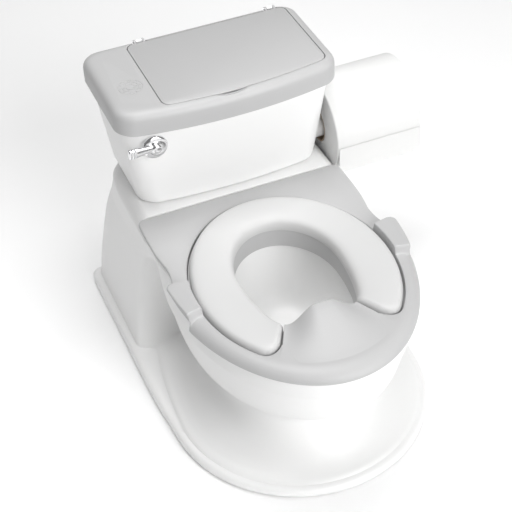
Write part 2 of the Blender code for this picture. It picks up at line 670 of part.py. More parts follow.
def lid_level(z, inset, radius=0.019):
    return flat_ring(rounded_box_outline(LID_HALF - inset, LID_FRONT + inset, LID_BACK - inset,
                                         radius - 0.6 * inset, LID_BOW), z)


def make_lid():
    edge = [(LID_BOTTOM, 0.0), (0.2960, 0.0), (0.2990, 0.0004), (0.3018, 0.0016), (0.3041, 0.0040),
            (0.3052, 0.0070), (LID_TOP, 0.0100)]
    lid = loft("tank_lid", [lid_level(z, inset) for z, inset in edge], "grey_plastic")
    ceiling = LID_TOP - LID_PLATE
    inner = [(LID_BOTTOM - 0.01, TANK_WALL), (0.2960, TANK_WALL), (ceiling - 0.0020, 0.0045),
             (ceiling, 0.0075)]
    boolean(lid, loft("cut_lid", [lid_level(z, inset) for z, inset in inner]))
    outline = flap_outline(-0.0007)
    boolean(lid, loft("cut_flap", [flat_ring(outline, 0.290), flat_ring(outline, 0.315)]))
    for number, x in enumerate(HINGE_X, 1):
        boolean(lid, box(f"cut_hinge_{number}", (x - 0.0078, FLAP_REAR - 0.003, 0.2982),
                         (x + 0.0078, 0.2, 0.315)))
    scoop = bmesh.new()
    place = Matrix.Translation((-0.0010, LID_FRONT + FLAP_INSET - LID_BOW, LID_TOP + 0.0012))
    bmesh.ops.create_uvsphere(scoop, u_segments=28, v_segments=14, radius=1.0,
                              matrix=place @ Matrix.Diagonal((0.0185, 0.0082, 0.0031, 1.0)))
    boolean(lid, from_bmesh("cut_scoop", scoop))
    for number, radius in enumerate((0.0080, 0.0120), 1):
        groove = [(radius + 0.0005, 0.002), (radius + 0.0005, -0.0007), (radius - 0.0005, -0.0007),
                  (radius - 0.0005, 0.002)]
        boolean(lid, turned(f"cut_groove_{number}", groove, (*GRILLE, LID_TOP), "Z", steps=24))
    holes = [(0.0050 * math.cos(math.radians(60 * i)), 0.0050 * math.sin(math.radians(60 * i)), 0.0)
             for i in range(6)]
    boolean(lid, rod("cut_sound_holes", (*GRILLE, 0.295), 0.02, 0.0008, segments=12, places=holes))
    return lid


GRILLE = (-0.0905, 0.1140)


def make_flap():
    low = LID_TOP - FLAP_THICK
    flap = loft("wipes_flap", [flat_ring(flap_outline(), low), flat_ring(flap_outline(), LID_TOP - 0.0004),
                               flat_ring(flap_outline(0.0004), LID_TOP)], "grey_plastic")
    for number, x in enumerate(HINGE_X, 1):
        for side in (-1, 1):
            start = x + side * 0.0051 - 0.0015
            tag = f"{number}_{'a' if side < 0 else 'b'}"
            boolean(flap, box("add_arm_" + tag, (start, FLAP_REAR - 0.004, low + 0.0001),
                              (start + 0.003, HINGE_Y, low + 0.0019)), "UNION")
            boolean(flap, rod("add_eye_" + tag, (start + 0.00005, HINGE_Y, HINGE_Z), 0.0029, 0.0028, "X",
                              segments=14), "UNION")
            boolean(flap, rod("cut_eye_" + tag, (start - 0.001, HINGE_Y, HINGE_Z), 0.005, 0.0015, "X",
                              segments=12))
        rod(f"hinge_pin_{number}", (x - 0.0066, HINGE_Y, HINGE_Z), 0.0132, 0.0011, "X", "steel",
            segments=12)
        knuckle = rod(f"hinge_knuckle_{number}", (x - 0.0032, HINGE_Y, HINGE_Z), 0.0064, 0.0029, "X",
                      "white_plastic", segments=16)
        boolean(knuckle, box(f"add_stem_{number}", (x - 0.0028, HINGE_Y - 0.0010, 0.2985),
                             (x + 0.0028, HINGE_Y + 0.0024, HINGE_Z)), "UNION")
        boolean(knuckle, rod(f"cut_knuckle_{number}", (x - 0.01, HINGE_Y, HINGE_Z), 0.02, 0.0015, "X",
                             segments=12))


def make_wipes_bin():
    ceiling = LID_TOP - LID_PLATE - GAP
    half, center = 0.0870, 0.0225
    plate = rounded_box_outline(half, 0.0790, 0.1835, 0.006, center=center)
    well_half, well_center = 0.0765, 0.0190
    tank = loft("wipes_bin", [flat_ring(plate, ceiling - 0.0020), flat_ring(plate, ceiling)],
                "white_plastic")
    body = rounded_box_outline(well_half, 0.0870, 0.1780, 0.010, center=well_center)
    foot = rounded_box_outline(well_half - 0.004, 0.0910, 0.1740, 0.009, center=well_center)
    boolean(tank, loft("add_bin", [flat_ring(foot, 0.2220), flat_ring(body, ceiling - 0.0010)]), "UNION")
    body = rounded_box_outline(well_half - 0.002, 0.0890, 0.1760, 0.008, center=well_center)
    foot = rounded_box_outline(well_half - 0.006, 0.0930, 0.1720, 0.007, center=well_center)
    boolean(tank, loft("cut_bin", [flat_ring(foot, 0.2242), flat_ring(body, 0.315)]))


# ---------------------------------------------------------------- flush lever and sound module
def make_flush():
    dish = [(0.0034, 0.0130), (0.0050, 0.0130), (0.0050, 0.0000), (0.0128, 0.0000), (0.0133, -0.0030),
            (0.0120, -0.0046), (0.0085, -0.0056), (0.0034, -0.0060)]
    place = (LEVER_X, 0.0678, LEVER_Z)
    ring = turned("flush_escutcheon", dish, place, "Y", "chrome", steps=20)
    neck = turned("cut_dish_keep", [(0.03, 0.0160), (0.03, -0.010), (0.0051, -0.010), (0.0051, 0.0160)],
                  place, "Y", steps=20)
    boolean(neck, tank_form("cut_dish_form", GAP), "INTERSECT")
    boolean(ring, neck)
    rod("flush_shaft", (LEVER_X, 0.0592, LEVER_Z), 0.0430, 0.0030, "Y", "steel", segments=20)
    make_lever()
    nut = rod("shaft_nut", (LEVER_X, 0.0735, LEVER_Z), 0.0042, 0.0090, "Y", "dark_plastic", segments=6)
    boolean(nut, rod("cut_nut", (LEVER_X, 0.070, LEVER_Z), 0.01, 0.0053, "Y", segments=28))

    coil = bpy.data.curves.new("flush_spring", "CURVE")
    coil.dimensions = "3D"
    coil.bevel_depth = 0.0006
    coil.bevel_resolution = 1
    coil.use_fill_caps = True
    turns, per_turn = 3, 10
    spline = coil.splines.new("POLY")
    spline.points.add(turns * per_turn)
    for i, point in enumerate(spline.points):
        angle = 2 * math.pi * i / per_turn
        y = 0.0822 + 0.0062 * i / (turns * per_turn)
        point.co = (LEVER_X + 0.0052 * math.cos(angle), y, LEVER_Z + 0.0052 * math.sin(angle), 1.0)
    parts.objects.link(bpy.data.objects.new("flush_spring", coil))
    coil.materials.append(MATERIALS["steel"])

    cam = rod("flush_cam", (LEVER_X, 0.0900, LEVER_Z), 0.0080, 0.0048, "Y", "dark_plastic", segments=20)
    boolean(cam, box("add_lobe", (LEVER_X - 0.0090, 0.0905, LEVER_Z - 0.0015),
                     (LEVER_X, 0.0975, LEVER_Z + 0.0015)), "UNION")
    boolean(cam, rod("cut_cam", (LEVER_X, 0.08, LEVER_Z), 0.03, 0.0033, "Y", segments=20))

    plunger_x = LEVER_X - 0.0066
    rod("switch_plunger", (plunger_x, 0.0940, LEVER_Z - 0.0166), 0.0146, 0.0013, "Z", "white_plastic",
        segments=16)
    body = box("switch_body", (plunger_x - 0.0062, 0.0885, LEVER_Z - 0.0235),
               (plunger_x + 0.0062, 0.1000, LEVER_Z - 0.0072), "dark_plastic")
    boolean(body, rod("cut_switch", (plunger_x, 0.0940, LEVER_Z - 0.0215), 0.02, 0.0017, "Z", segments=16))


def make_lever():
    """Chrome lever: a round hub with a bar that swells towards its end."""
    stations = [(0.0000, 0.0032, 0.0022), (0.0060, 0.0030, 0.0020), (0.0130, 0.0033, 0.0021),
                (0.0200, 0.0040, 0.0024), (0.0255, 0.0047, 0.0028), (0.0285, 0.0048, 0.0029),
                (0.0298, 0.0036, 0.0020)]
    center_y = 0.0588
    rings = []
    for reach, tall, thick in stations:
        ring = []
        for i in range(10):
            angle = 2 * math.pi * i / 10
            ring.append((LEVER_X - reach, center_y + thick * math.cos(angle) - 0.03 * reach,
                         LEVER_Z + tall * math.sin(angle) - 0.06 * reach))
        rings.append(ring)
    lever = loft("flush_lever", rings, "chrome")
    hub = turned("add_hub", [(0.0, 0.0026), (0.0056, 0.0026), (0.0064, 0.0016), (0.0064, -0.0016),
                             (0.0050, -0.0032), (0.0, -0.0040)],
                 (LEVER_X, center_y, LEVER_Z), "Y", steps=16)
    boolean(lever, hub, "UNION")
    boolean(lever, rod("cut_lever_hub", (LEVER_X, 0.0589, LEVER_Z), 0.01, 0.0033, "Y", segments=16))


BATTERY_DOOR = ((-0.0845, 0.1903, 0.2060), (-0.0585, TANK_BACK, 0.2560))


def make_sound_module():
    top = LID_TOP - LID_PLATE - GAP
    housing = box("sound_housing", (-0.1080, 0.1020, 0.2660), (-0.0760, 0.1560, top), "dark_plastic", 0.001)
    boolean(housing, box("cut_housing", (-0.1062, 0.1038, 0.2678), (-0.0778, 0.1542, 0.32)))
    turned("speaker", [(0.0, -0.0030), (0.0110, 0.0000), (0.0128, 0.0000), (0.0128, -0.0022),
                       (0.0070, -0.0052), (0.0070, -0.0092), (0.0, -0.0092)],
           (-0.0920, 0.1180, top - 0.0030), "Z", "dark_plastic", steps=20)
    board = box("circuit_board", (-0.1058, 0.1060, 0.2740), (-0.0782, 0.1530, 0.2756), "board")
    boolean(board, rod("cut_board", (-0.0920, 0.1480, 0.27), 0.01, 0.0012, segments=12))
    rod("board_screw", (-0.0920, 0.1480, 0.2682), 0.0092, 0.0009, "Z", "steel", segments=14)

    low, high = BATTERY_DOOR
    tray = box("battery_box", (low[0] - 0.0015, 0.1720, low[2] - 0.0015),
               (high[0] + 0.0015, 0.1893, high[2] + 0.0015), "dark_plastic")
    boolean(tray, box("cut_tray", (low[0], 0.1735, low[2]), (high[0], 0.21, high[2])))
    for number, x in enumerate((-0.0779, -0.0651), 1):
        turned(f"battery_{number}",
               [(0.0, 0.0445), (0.0018, 0.0445), (0.0018, 0.0437), (0.0052, 0.0435), (0.0052, 0.0),
                (0.0, 0.0)], (x, 0.1812, 0.2088), "Z", "battery_jacket", steps=16)
    door = box("battery_door", (low[0], low[1], low[2]), high, "white_plastic", 0.0005)
    spot = ((low[0] + high[0]) / 2, low[1], high[2] - 0.0042)
    boolean(door, rod("cut_door", (spot[0], 0.18, spot[2]), 0.02, 0.0012, "Y", segments=16))
    boolean(door, rod("cut_door_sink", (spot[0], TANK_BACK - 0.0012, spot[2]), 0.01, 0.0025, "Y",
                      segments=20))
    turned("battery_door_screw", [(0.0, 0.0009), (0.0022, 0.0009), (0.0022, 0.0), (0.0009, -0.0001),
                                  (0.0009, -0.0046), (0.0, -0.0050)],
           (spot[0], TANK_BACK - 0.0009, spot[2]), "Y", "steel", steps=20)


# ---------------------------------------------------------------- paper roll
def make_roll():
    spindle = turned("roll_spindle",
                     [(0.0, ROLL_X[1] + 0.0010), (0.0145, ROLL_X[1] + 0.0010), (0.0150, ROLL_X[0]),
                      (0.0150, 0.1095), (0.0156, 0.1085), (0.0156, 0.0950), (0.0, 0.0950)],
                     (0.0, ROLL_Y, ROLL_Z), "X", "white_plastic", steps=28)
    boolean(spindle, tank_form("cut_spindle_form", GAP))
    boolean(spindle, rod("cut_spindle_bore", (0.1145, ROLL_Y, ROLL_Z), 0.12, 0.0125, "X", segments=28))
    boolean(spindle, rod("cut_spindle_screw", (0.09, ROLL_Y, ROLL_Z), 0.04, 0.0019, "X", segments=16))
    turned("spindle_cap", [(0.0, 0.2188), (0.0170, 0.2186), (0.0184, 0.2178), (0.0184, 0.2163),
                           (0.0122, 0.2163), (0.0120, 0.2080), (0.0, 0.2080)],
           (0.0, ROLL_Y, ROLL_Z), "X", "white_plastic", steps=24)
    turned("spindle_screw", [(0.0, 0.1190), (0.0016, 0.1182), (0.0016, 0.0990), (0.0036, 0.0990),
                             (0.0034, 0.0972), (0.0, 0.0968)],
           (0.0, ROLL_Y, ROLL_Z), "X", "steel", steps=20)

    start, end = ROLL_X
    turned("roll_core", [(CORE_IN, end), (CORE_OUT, end), (CORE_OUT, start), (CORE_IN, start)],
           (0.0, ROLL_Y, ROLL_Z), "X", "cardboard", steps=24)
    turned("paper_roll", [(CORE_OUT + GAP, end), (ROLL_R - 0.0008, end), (ROLL_R, end - 0.0008),
                          (ROLL_R, start + 0.0008), (ROLL_R - 0.0008, start), (CORE_OUT + GAP, start)],
           (0.0, ROLL_Y, ROLL_Z), "X", "paper", steps=36)
    front = ROLL_Y - ROLL_R
    box("paper_tail", (start + 0.0016, front - 0.0009, TAIL_END), (end - 0.0002, front - GAP, ROLL_Z),
        "paper")


make_base()
make_underside()
make_pot()
make_deck()
make_seat()
make_cushion()
make_tank()
make_lid()
make_flap()
make_wipes_bin()
make_flush()
make_sound_module()
make_roll()
bpy.context.view_layer.update()
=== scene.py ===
# Potty training chair: finished surfaces, materials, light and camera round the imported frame.
import json
import math
import bpy
import bmesh
from mathutils import Matrix, Vector


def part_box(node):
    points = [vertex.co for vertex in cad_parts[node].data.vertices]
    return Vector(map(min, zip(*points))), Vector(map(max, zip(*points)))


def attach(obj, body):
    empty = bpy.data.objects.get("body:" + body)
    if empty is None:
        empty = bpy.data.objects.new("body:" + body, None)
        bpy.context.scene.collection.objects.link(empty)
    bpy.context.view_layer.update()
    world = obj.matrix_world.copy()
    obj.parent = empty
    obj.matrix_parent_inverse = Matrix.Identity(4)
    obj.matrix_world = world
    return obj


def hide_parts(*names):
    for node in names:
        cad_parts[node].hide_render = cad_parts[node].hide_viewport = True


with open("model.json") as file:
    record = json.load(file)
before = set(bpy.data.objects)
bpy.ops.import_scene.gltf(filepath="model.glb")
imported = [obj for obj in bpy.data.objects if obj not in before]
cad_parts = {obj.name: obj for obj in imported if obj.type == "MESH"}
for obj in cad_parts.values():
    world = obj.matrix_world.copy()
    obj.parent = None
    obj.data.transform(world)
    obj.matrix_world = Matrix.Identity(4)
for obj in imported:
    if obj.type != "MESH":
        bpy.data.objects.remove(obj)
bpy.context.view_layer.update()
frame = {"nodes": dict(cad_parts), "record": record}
scene = bpy.context.scene
nodes = frame["nodes"]
print("frame loaded:", len(nodes), "nodes")


# shader groups shared by the finishes
def newGroup(name, inputs, outputs):
    group = bpy.data.node_groups.new(name, "ShaderNodeTree")
    for label, value in inputs.items():
        socket = group.interface.new_socket(label, in_out="INPUT", socket_type="NodeSocketFloat")
        socket.default_value = value
    for label in outputs:
        group.interface.new_socket(label, in_out="OUTPUT", socket_type="NodeSocketFloat")
    return group, group.nodes.new("NodeGroupInput"), group.nodes.new("NodeGroupOutput")


def addNode(tree, kind, settings=None, links=None):
    node = tree.nodes.new(kind)
    for key, value in (settings or {}).items():
        if isinstance(key, str) and hasattr(node, key):
            setattr(node, key, value)
        else:
            node.inputs[key].default_value = value
    for socket, source in (links or {}).items():
        tree.links.new(source, node.inputs[socket])
    return node


def buildMouldSkin():
    # fine spark-eroded grain, slow tone drift and the sheen that goes with both
    tree, given, result = newGroup("mouldSkin", {"Grain Scale": 900.0, "Drift Scale": 9.0,
                                                 "Smoothest": 0.3, "Roughest": 0.45},
                                   ["Tone", "Roughness", "Height"])
    place = addNode(tree, "ShaderNodeTexCoord").outputs["Object"]
    grain = addNode(tree, "ShaderNodeTexNoise", {"Detail": 3.0, "Roughness": 0.6},
                    {"Vector": place, "Scale": given.outputs["Grain Scale"]})
    drift = addNode(tree, "ShaderNodeTexNoise", {"Detail": 2.0},
                    {"Vector": place, "Scale": given.outputs["Drift Scale"]})
    mixed = addNode(tree, "ShaderNodeMath", {"operation": "MULTIPLY_ADD", 1: 0.35},
                    {0: grain.outputs["Fac"], 2: drift.outputs["Fac"]})
    sheen = addNode(tree, "ShaderNodeMapRange", {"From Min": 0.35, "From Max": 1.0},
                    {"Value": mixed.outputs[0], "To Min": given.outputs["Smoothest"],
                     "To Max": given.outputs["Roughest"]})
    tree.links.new(drift.outputs["Fac"], result.inputs["Tone"])
    tree.links.new(sheen.outputs[0], result.inputs["Roughness"])
    tree.links.new(grain.outputs["Fac"], result.inputs["Height"])
    return tree


def buildEdgeWear():
    # rubbed edges: convex places, broken up by a blotchy noise
    tree, given, result = newGroup("edgeWear", {"Start": 0.53, "End": 0.60, "Patch Scale": 60.0},
                                   ["Mask"])
    bend = addNode(tree, "ShaderNodeNewGeometry").outputs["Pointiness"]
    place = addNode(tree, "ShaderNodeTexCoord").outputs["Object"]
    patch = addNode(tree, "ShaderNodeTexNoise", {"Detail": 4.0},
                    {"Vector": place, "Scale": given.outputs["Patch Scale"]})
    edge = addNode(tree, "ShaderNodeMapRange", {},
                   {"Value": bend, "From Min": given.outputs["Start"], "From Max": given.outputs["End"]})
    mask = addNode(tree, "ShaderNodeMath", {"operation": "MULTIPLY"},
                   {0: edge.outputs[0], 1: patch.outputs["Fac"]})
    tree.links.new(mask.outputs[0], result.inputs["Mask"])
    return tree


def buildDustVeil():
    # a faint veil on what faces up, thicker in blotches
    tree, given, result = newGroup("dustVeil", {"Patch Scale": 25.0, "Amount": 0.12}, ["Mask"])
    geometry = addNode(tree, "ShaderNodeNewGeometry")
    up = addNode(tree, "ShaderNodeSeparateXYZ", {}, {0: geometry.outputs["Normal"]})
    place = addNode(tree, "ShaderNodeTexCoord").outputs["Object"]
    patch = addNode(tree, "ShaderNodeTexNoise", {"Detail": 5.0, "Roughness": 0.65},
                    {"Vector": place, "Scale": given.outputs["Patch Scale"]})
    facing = addNode(tree, "ShaderNodeMapRange", {"From Min": 0.3, "From Max": 1.0},
                     {"Value": up.outputs["Z"], "To Max": given.outputs["Amount"]})
    mask = addNode(tree, "ShaderNodeMath", {"operation": "MULTIPLY"},
                   {0: facing.outputs[0], 1: patch.outputs["Fac"]})
    tree.links.new(mask.outputs[0], result.inputs["Mask"])
    return tree


def buildDrawnLines():
    # fine parallel lines along one axis: rolled steel and wound card
    tree, given, result = newGroup("drawnLines", {"Across": 2500.0, "Along": 40.0}, ["Tone", "Height"])
    place = addNode(tree, "ShaderNodeTexCoord").outputs["Object"]
    stretch = addNode(tree, "ShaderNodeCombineXYZ", {}, {"X": given.outputs["Across"],
                      "Y": given.outputs["Along"], "Z": given.outputs["Along"]})
    scaled = addNode(tree, "ShaderNodeVectorMath", {"operation": "MULTIPLY"},
                     {0: place, 1: stretch.outputs[0]})
    lines = addNode(tree, "ShaderNodeTexNoise", {"Scale": 1.0, "Detail": 3.0},
                    {"Vector": scaled.outputs[0]})
    tree.links.new(lines.outputs["Fac"], result.inputs["Tone"])
    tree.links.new(lines.outputs["Fac"], result.inputs["Height"])
    return tree


def buildCrepe():
    # quilted tissue: soft pillows with fine crinkles across them
    tree, given, result = newGroup("crepe", {"Quilt Scale": 120.0, "Crinkle Scale": 900.0},
                                   ["Tone", "Height"])
    place = addNode(tree, "ShaderNodeTexCoord").outputs["Object"]
    quilt = addNode(tree, "ShaderNodeTexVoronoi", {"feature": "SMOOTH_F1", "Randomness": 0.35},
                    {"Vector": place, "Scale": given.outputs["Quilt Scale"]})
    crinkle = addNode(tree, "ShaderNodeTexNoise", {"Detail": 4.0},
                      {"Vector": place, "Scale": given.outputs["Crinkle Scale"]})
    height = addNode(tree, "ShaderNodeMath", {"operation": "MULTIPLY_ADD", 1: 0.3},
                     {0: crinkle.outputs["Fac"], 2: quilt.outputs["Distance"]})
    tree.links.new(quilt.outputs["Distance"], result.inputs["Tone"])
    tree.links.new(height.outputs[0], result.inputs["Height"])
    return tree


mouldSkin, edgeWear, dustVeil = buildMouldSkin(), buildEdgeWear(), buildDustVeil()
drawnLines, crepe = buildDrawnLines(), buildCrepe()


def useGroup(tree, group, values=None):
    node = tree.nodes.new("ShaderNodeGroup")
    node.node_tree = group
    for key, value in (values or {}).items():
        node.inputs[key].default_value = value
    return node


def shade(color, factor):
    return tuple(min(1.0, channel * factor) for channel in color) + (1.0,)


def mixColor(tree, low, high, factor):
    node = addNode(tree, "ShaderNodeMix", {"data_type": "RGBA"})
    for socket, value in ((6, low), (7, high)):
        if isinstance(value, bpy.types.NodeSocket):
            tree.links.new(value, node.inputs[socket])
        else:
            node.inputs[socket].default_value = value
    tree.links.new(factor, node.inputs[0])
    return node.outputs[2]


def newFinish(name):
    finish = bpy.data.materials.new(name)
    finish.use_nodes = True
    shader = finish.node_tree.nodes["Principled BSDF"]
    return finish, finish.node_tree, shader


def addBump(tree, shader, height, strength, distance):
    bump = addNode(tree, "ShaderNodeBump", {"Strength": strength, "Distance": distance},
                   {"Height": height})
    tree.links.new(bump.outputs["Normal"], shader.inputs["Normal"])


def mouldedPlastic(name, color, gloss, grain=900.0, bump=0.12, drift=0.03, wear=1.05, dust=0.10,
                   coat=0.0, bleed=0.0):
    finish, tree, shader = newFinish(name)
    skin = useGroup(tree, mouldSkin, {"Grain Scale": grain, "Smoothest": gloss[0], "Roughest": gloss[1]})
    rubbed = useGroup(tree, edgeWear)
    veil = useGroup(tree, dustVeil, {"Amount": dust})
    base = mixColor(tree, shade(color, 1 - drift), shade(color, 1 + drift), skin.outputs["Tone"])
    worn = mixColor(tree, base, shade(color, wear), rubbed.outputs["Mask"])
    dusty = mixColor(tree, worn, (0.62, 0.60, 0.57, 1.0), veil.outputs["Mask"])
    tree.links.new(dusty, shader.inputs["Base Color"])
    tree.links.new(skin.outputs["Roughness"], shader.inputs["Roughness"])
    shader.inputs["IOR"].default_value = 1.49
    shader.inputs["Coat Weight"].default_value = coat
    shader.inputs["Coat Roughness"].default_value = 0.15
    shader.inputs["Subsurface Weight"].default_value = bleed
    shader.inputs["Subsurface Radius"].default_value = (0.004, 0.004, 0.004)
    addBump(tree, shader, skin.outputs["Height"], bump, 0.0002)
    return finish


def softFoam(name, color):
    # moulded foam with its own closed skin: dense fine pores and a dull, slightly waxy sheen
    finish, tree, shader = newFinish(name)
    skin = useGroup(tree, mouldSkin, {"Grain Scale": 420.0, "Drift Scale": 14.0,
                                      "Smoothest": 0.46, "Roughest": 0.62})
    place = addNode(tree, "ShaderNodeTexCoord").outputs["Object"]
    pores = addNode(tree, "ShaderNodeTexVoronoi", {"Scale": 1400.0}, {"Vector": place})
    height = addNode(tree, "ShaderNodeMath", {"operation": "MULTIPLY_ADD", 1: 0.5},
                     {0: pores.outputs["Distance"], 2: skin.outputs["Height"]})
    base = mixColor(tree, shade(color, 0.975), shade(color, 1.02), skin.outputs["Tone"])
    rubbed = useGroup(tree, edgeWear, {"Start": 0.50, "End": 0.62})
    tree.links.new(mixColor(tree, base, shade(color, 1.04), rubbed.outputs["Mask"]),
                   shader.inputs["Base Color"])
    tree.links.new(skin.outputs["Roughness"], shader.inputs["Roughness"])
    shader.inputs["Sheen Weight"].default_value = 0.10
    shader.inputs["Sheen Roughness"].default_value = 0.5
    shader.inputs["Subsurface Weight"].default_value = 0.08
    shader.inputs["Subsurface Radius"].default_value = (0.003, 0.003, 0.003)
    addBump(tree, shader, height.outputs[0], 0.10, 0.0002)
    return finish


def metalFinish(name, color, gloss, across=2500.0, bump=0.05):
    finish, tree, shader = newFinish(name)
    lines = useGroup(tree, drawnLines, {"Across": across, "Along": across * 0.04})
    rubbed = useGroup(tree, edgeWear)
    base = mixColor(tree, shade(color, 0.93), shade(color, 1.03), lines.outputs["Tone"])
    tree.links.new(mixColor(tree, base, shade(color, 1.12), rubbed.outputs["Mask"]),
                   shader.inputs["Base Color"])
    sheen = addNode(tree, "ShaderNodeMapRange", {"To Min": gloss[0], "To Max": gloss[1]},
                    {"Value": lines.outputs["Tone"]})
    tree.links.new(sheen.outputs[0], shader.inputs["Roughness"])
    shader.inputs["Metallic"].default_value = 1.0
    addBump(tree, shader, lines.outputs["Height"], bump, 0.0001)
    return finish


def fibreFinish(name, color, bump, across=None):
    # quilted tissue, or card wound in lines when a spacing across them is given
    finish, tree, shader = newFinish(name)
    pattern = useGroup(tree, drawnLines, {"Across": across}) if across else useGroup(tree, crepe)
    skin = useGroup(tree, mouldSkin, {"Grain Scale": 1500.0, "Smoothest": 0.85, "Roughest": 0.98})
    base = mixColor(tree, shade(color, 1.02), shade(color, 0.965), pattern.outputs["Tone"])
    tree.links.new(mixColor(tree, base, shade(color, 0.97), skin.outputs["Tone"]),
                   shader.inputs["Base Color"])
    tree.links.new(skin.outputs["Roughness"], shader.inputs["Roughness"])
    shader.inputs["Sheen Weight"].default_value = 0.15
    addBump(tree, shader, pattern.outputs["Height"], bump, 0.0004)
    return finish


finishes = {
    "white_plastic": mouldedPlastic("whitePolypropylene", (0.895, 0.895, 0.891), (0.34, 0.46),
                                    bump=0.05, drift=0.008, wear=1.01, dust=0.03, coat=0.15,
                                    bleed=0.05),
    "grey_plastic": mouldedPlastic("greyPolypropylene", (0.495, 0.495, 0.497), (0.38, 0.50),
                                   bump=0.10, drift=0.015, dust=0.05),
    "cushion_skin": softFoam("paleFoamSkin", (0.63, 0.63, 0.628)),
    "rubber": mouldedPlastic("greyRubber", (0.24, 0.24, 0.24), (0.7, 0.88), grain=1500.0, bump=0.3,
                             dust=0.25),
    "chrome": metalFinish("chromePlate", (0.86, 0.86, 0.87), (0.05, 0.11), across=900.0, bump=0.02),
    "steel": metalFinish("zincSteel", (0.62, 0.62, 0.63), (0.24, 0.42)),
    "dark_plastic": mouldedPlastic("blackAbs", (0.05, 0.05, 0.055), (0.35, 0.5), wear=1.9),
    "board": mouldedPlastic("greenSolderMask", (0.05, 0.22, 0.10), (0.2, 0.34), grain=500.0, coat=0.3),
    "battery_jacket": mouldedPlastic("batteryWrap", (0.14, 0.15, 0.17), (0.22, 0.34), coat=0.4),
    "paper": fibreFinish("quiltedTissue", (0.80, 0.80, 0.794), 0.35),
    "cardboard": fibreFinish("woundKraftCard", (0.50, 0.38, 0.27), 0.3, across=700.0),
}
slotOf = {row["node"]: row["material_slot"] for row in frame["record"]["subparts"]}
for nodeName, node in nodes.items():
    node.data.materials.clear()
    node.data.materials.append(finishes[slotOf[nodeName]])
print("finishes ready:", len(finishes))


# mesh helpers
def placeMesh(bm, mesh, slot, sharpAngle):
    # writes the worked mesh back and puts it in the scene, smooth and with its finish
    bm.to_mesh(mesh)
    bm.free()
    mesh.shade_smooth()
    if sharpAngle:
        mesh.set_sharp_from_angle(angle=math.radians(sharpAngle))
    obj = bpy.data.objects.new(mesh.name, mesh)
    scene.collection.objects.link(obj)
    if slot:
        mesh.materials.append(finishes[slot])
    return obj


def meshObject(name, verts, faces, slot, sharpAngle=40.0):
    mesh = bpy.data.meshes.new(name)
    mesh.from_pydata([tuple(vert) for vert in verts], [], faces)
    bm = bmesh.new()
    bm.from_mesh(mesh)
    bmesh.ops.remove_doubles(bm, verts=bm.verts, dist=1e-6)
    bmesh.ops.recalc_face_normals(bm, faces=bm.faces)
    return placeMesh(bm, mesh, slot, sharpAngle)


def skinOver(name, rings, slot=None, capFirst=True, capLast=True, joinEnds=False, sharpAngle=40.0):
    count = len(rings[0])
    verts = [point for ring in rings for point in ring]
    pairs = [(row, row + 1) for row in range(len(rings) - 1)]
    if joinEnds:
        pairs.append((len(rings) - 1, 0))
    faces = []
    for low, high in pairs:
        for i in range(count):
            j = (i + 1) % count
            faces.append((low * count + i, low * count + j, high * count + j, high * count + i))
    if capFirst and not joinEnds:
        faces.append(tuple(range(count))[::-1])
    if capLast and not joinEnds:
        faces.append(tuple((len(rings) - 1) * count + i for i in range(count)))
    return meshObject(name, verts, faces, slot, sharpAngle)


axisTurns = {"X": Matrix.Rotation(math.radians(90), 4, "Y"),
             "Y": Matrix.Rotation(math.radians(-90), 4, "X"), "Z": Matrix.Identity(4)}


def turnedPiece(name, profile, place, axis, slot=None, steps=72, bend=0.0004):
    # profile: (radius, height) pairs; its corners are eased by bend
    line = easedLine([(radius, height, bend) for radius, height in profile], 2)
    spot = Matrix.Translation(place) @ axisTurns[axis]
    rings = []
    for radius, height in line:
        ring = []
        for i in range(steps):
            angle = 2 * math.pi * i / steps
            ring.append(spot @ Vector((radius * math.cos(angle), radius * math.sin(angle), height)))
        rings.append(ring)
    closed = profile[0][0] > 1e-6
    return skinOver(name, rings, slot, capFirst=False, capLast=False, joinEnds=closed)


def easedLine(corners, steps, closed=False):
    # each corner (a, b, bend) becomes a short curve that starts and ends bend away from it
    line = []
    total = len(corners)
    for k, (a, b, bend) in enumerate(corners):
        if not closed and k in (0, total - 1):
            line.append((a, b))
            continue
        here = Vector((a, b))
        before = Vector(corners[k - 1][:2]) - here
        after = Vector(corners[(k + 1) % total][:2]) - here
        start = here + before.normalized() * min(bend, before.length * 0.48)
        end = here + after.normalized() * min(bend, after.length * 0.48)
        for s in range(steps + 1):
            t = s / steps
            point = start * (1 - t) ** 2 + here * 2 * t * (1 - t) + end * t * t
            line.append((point.x, point.y))
    return line


def throughRows(rows, steps):
    # smooth rows through the given ones, in the way of a drawn spline
    made = []
    for k in range(len(rows) - 1):
        before, here = rows[max(k - 1, 0)], rows[k]
        after, beyond = rows[k + 1], rows[min(k + 2, len(rows) - 1)]
        for s in range(steps):
            t = s / steps
            made.append([0.5 * (2 * b + (c - a) * t + (2 * a - 5 * b + 4 * c - d) * t * t
                                + (3 * b - a - 3 * c + d) * t ** 3)
                         for a, b, c, d in zip(before, here, after, beyond)])
    made.append(list(rows[-1]))
    return made


def levelRing(outline, z):
    return [(x, y, z) for x, y in outline]


def arcPoints(center, radius, start, end, steps):
    return [(center[0] + radius * math.cos(math.radians(start + (end - start) * i / steps)),
             center[1] + radius * math.sin(math.radians(start + (end - start) * i / steps)))
            for i in range(steps + 1)]


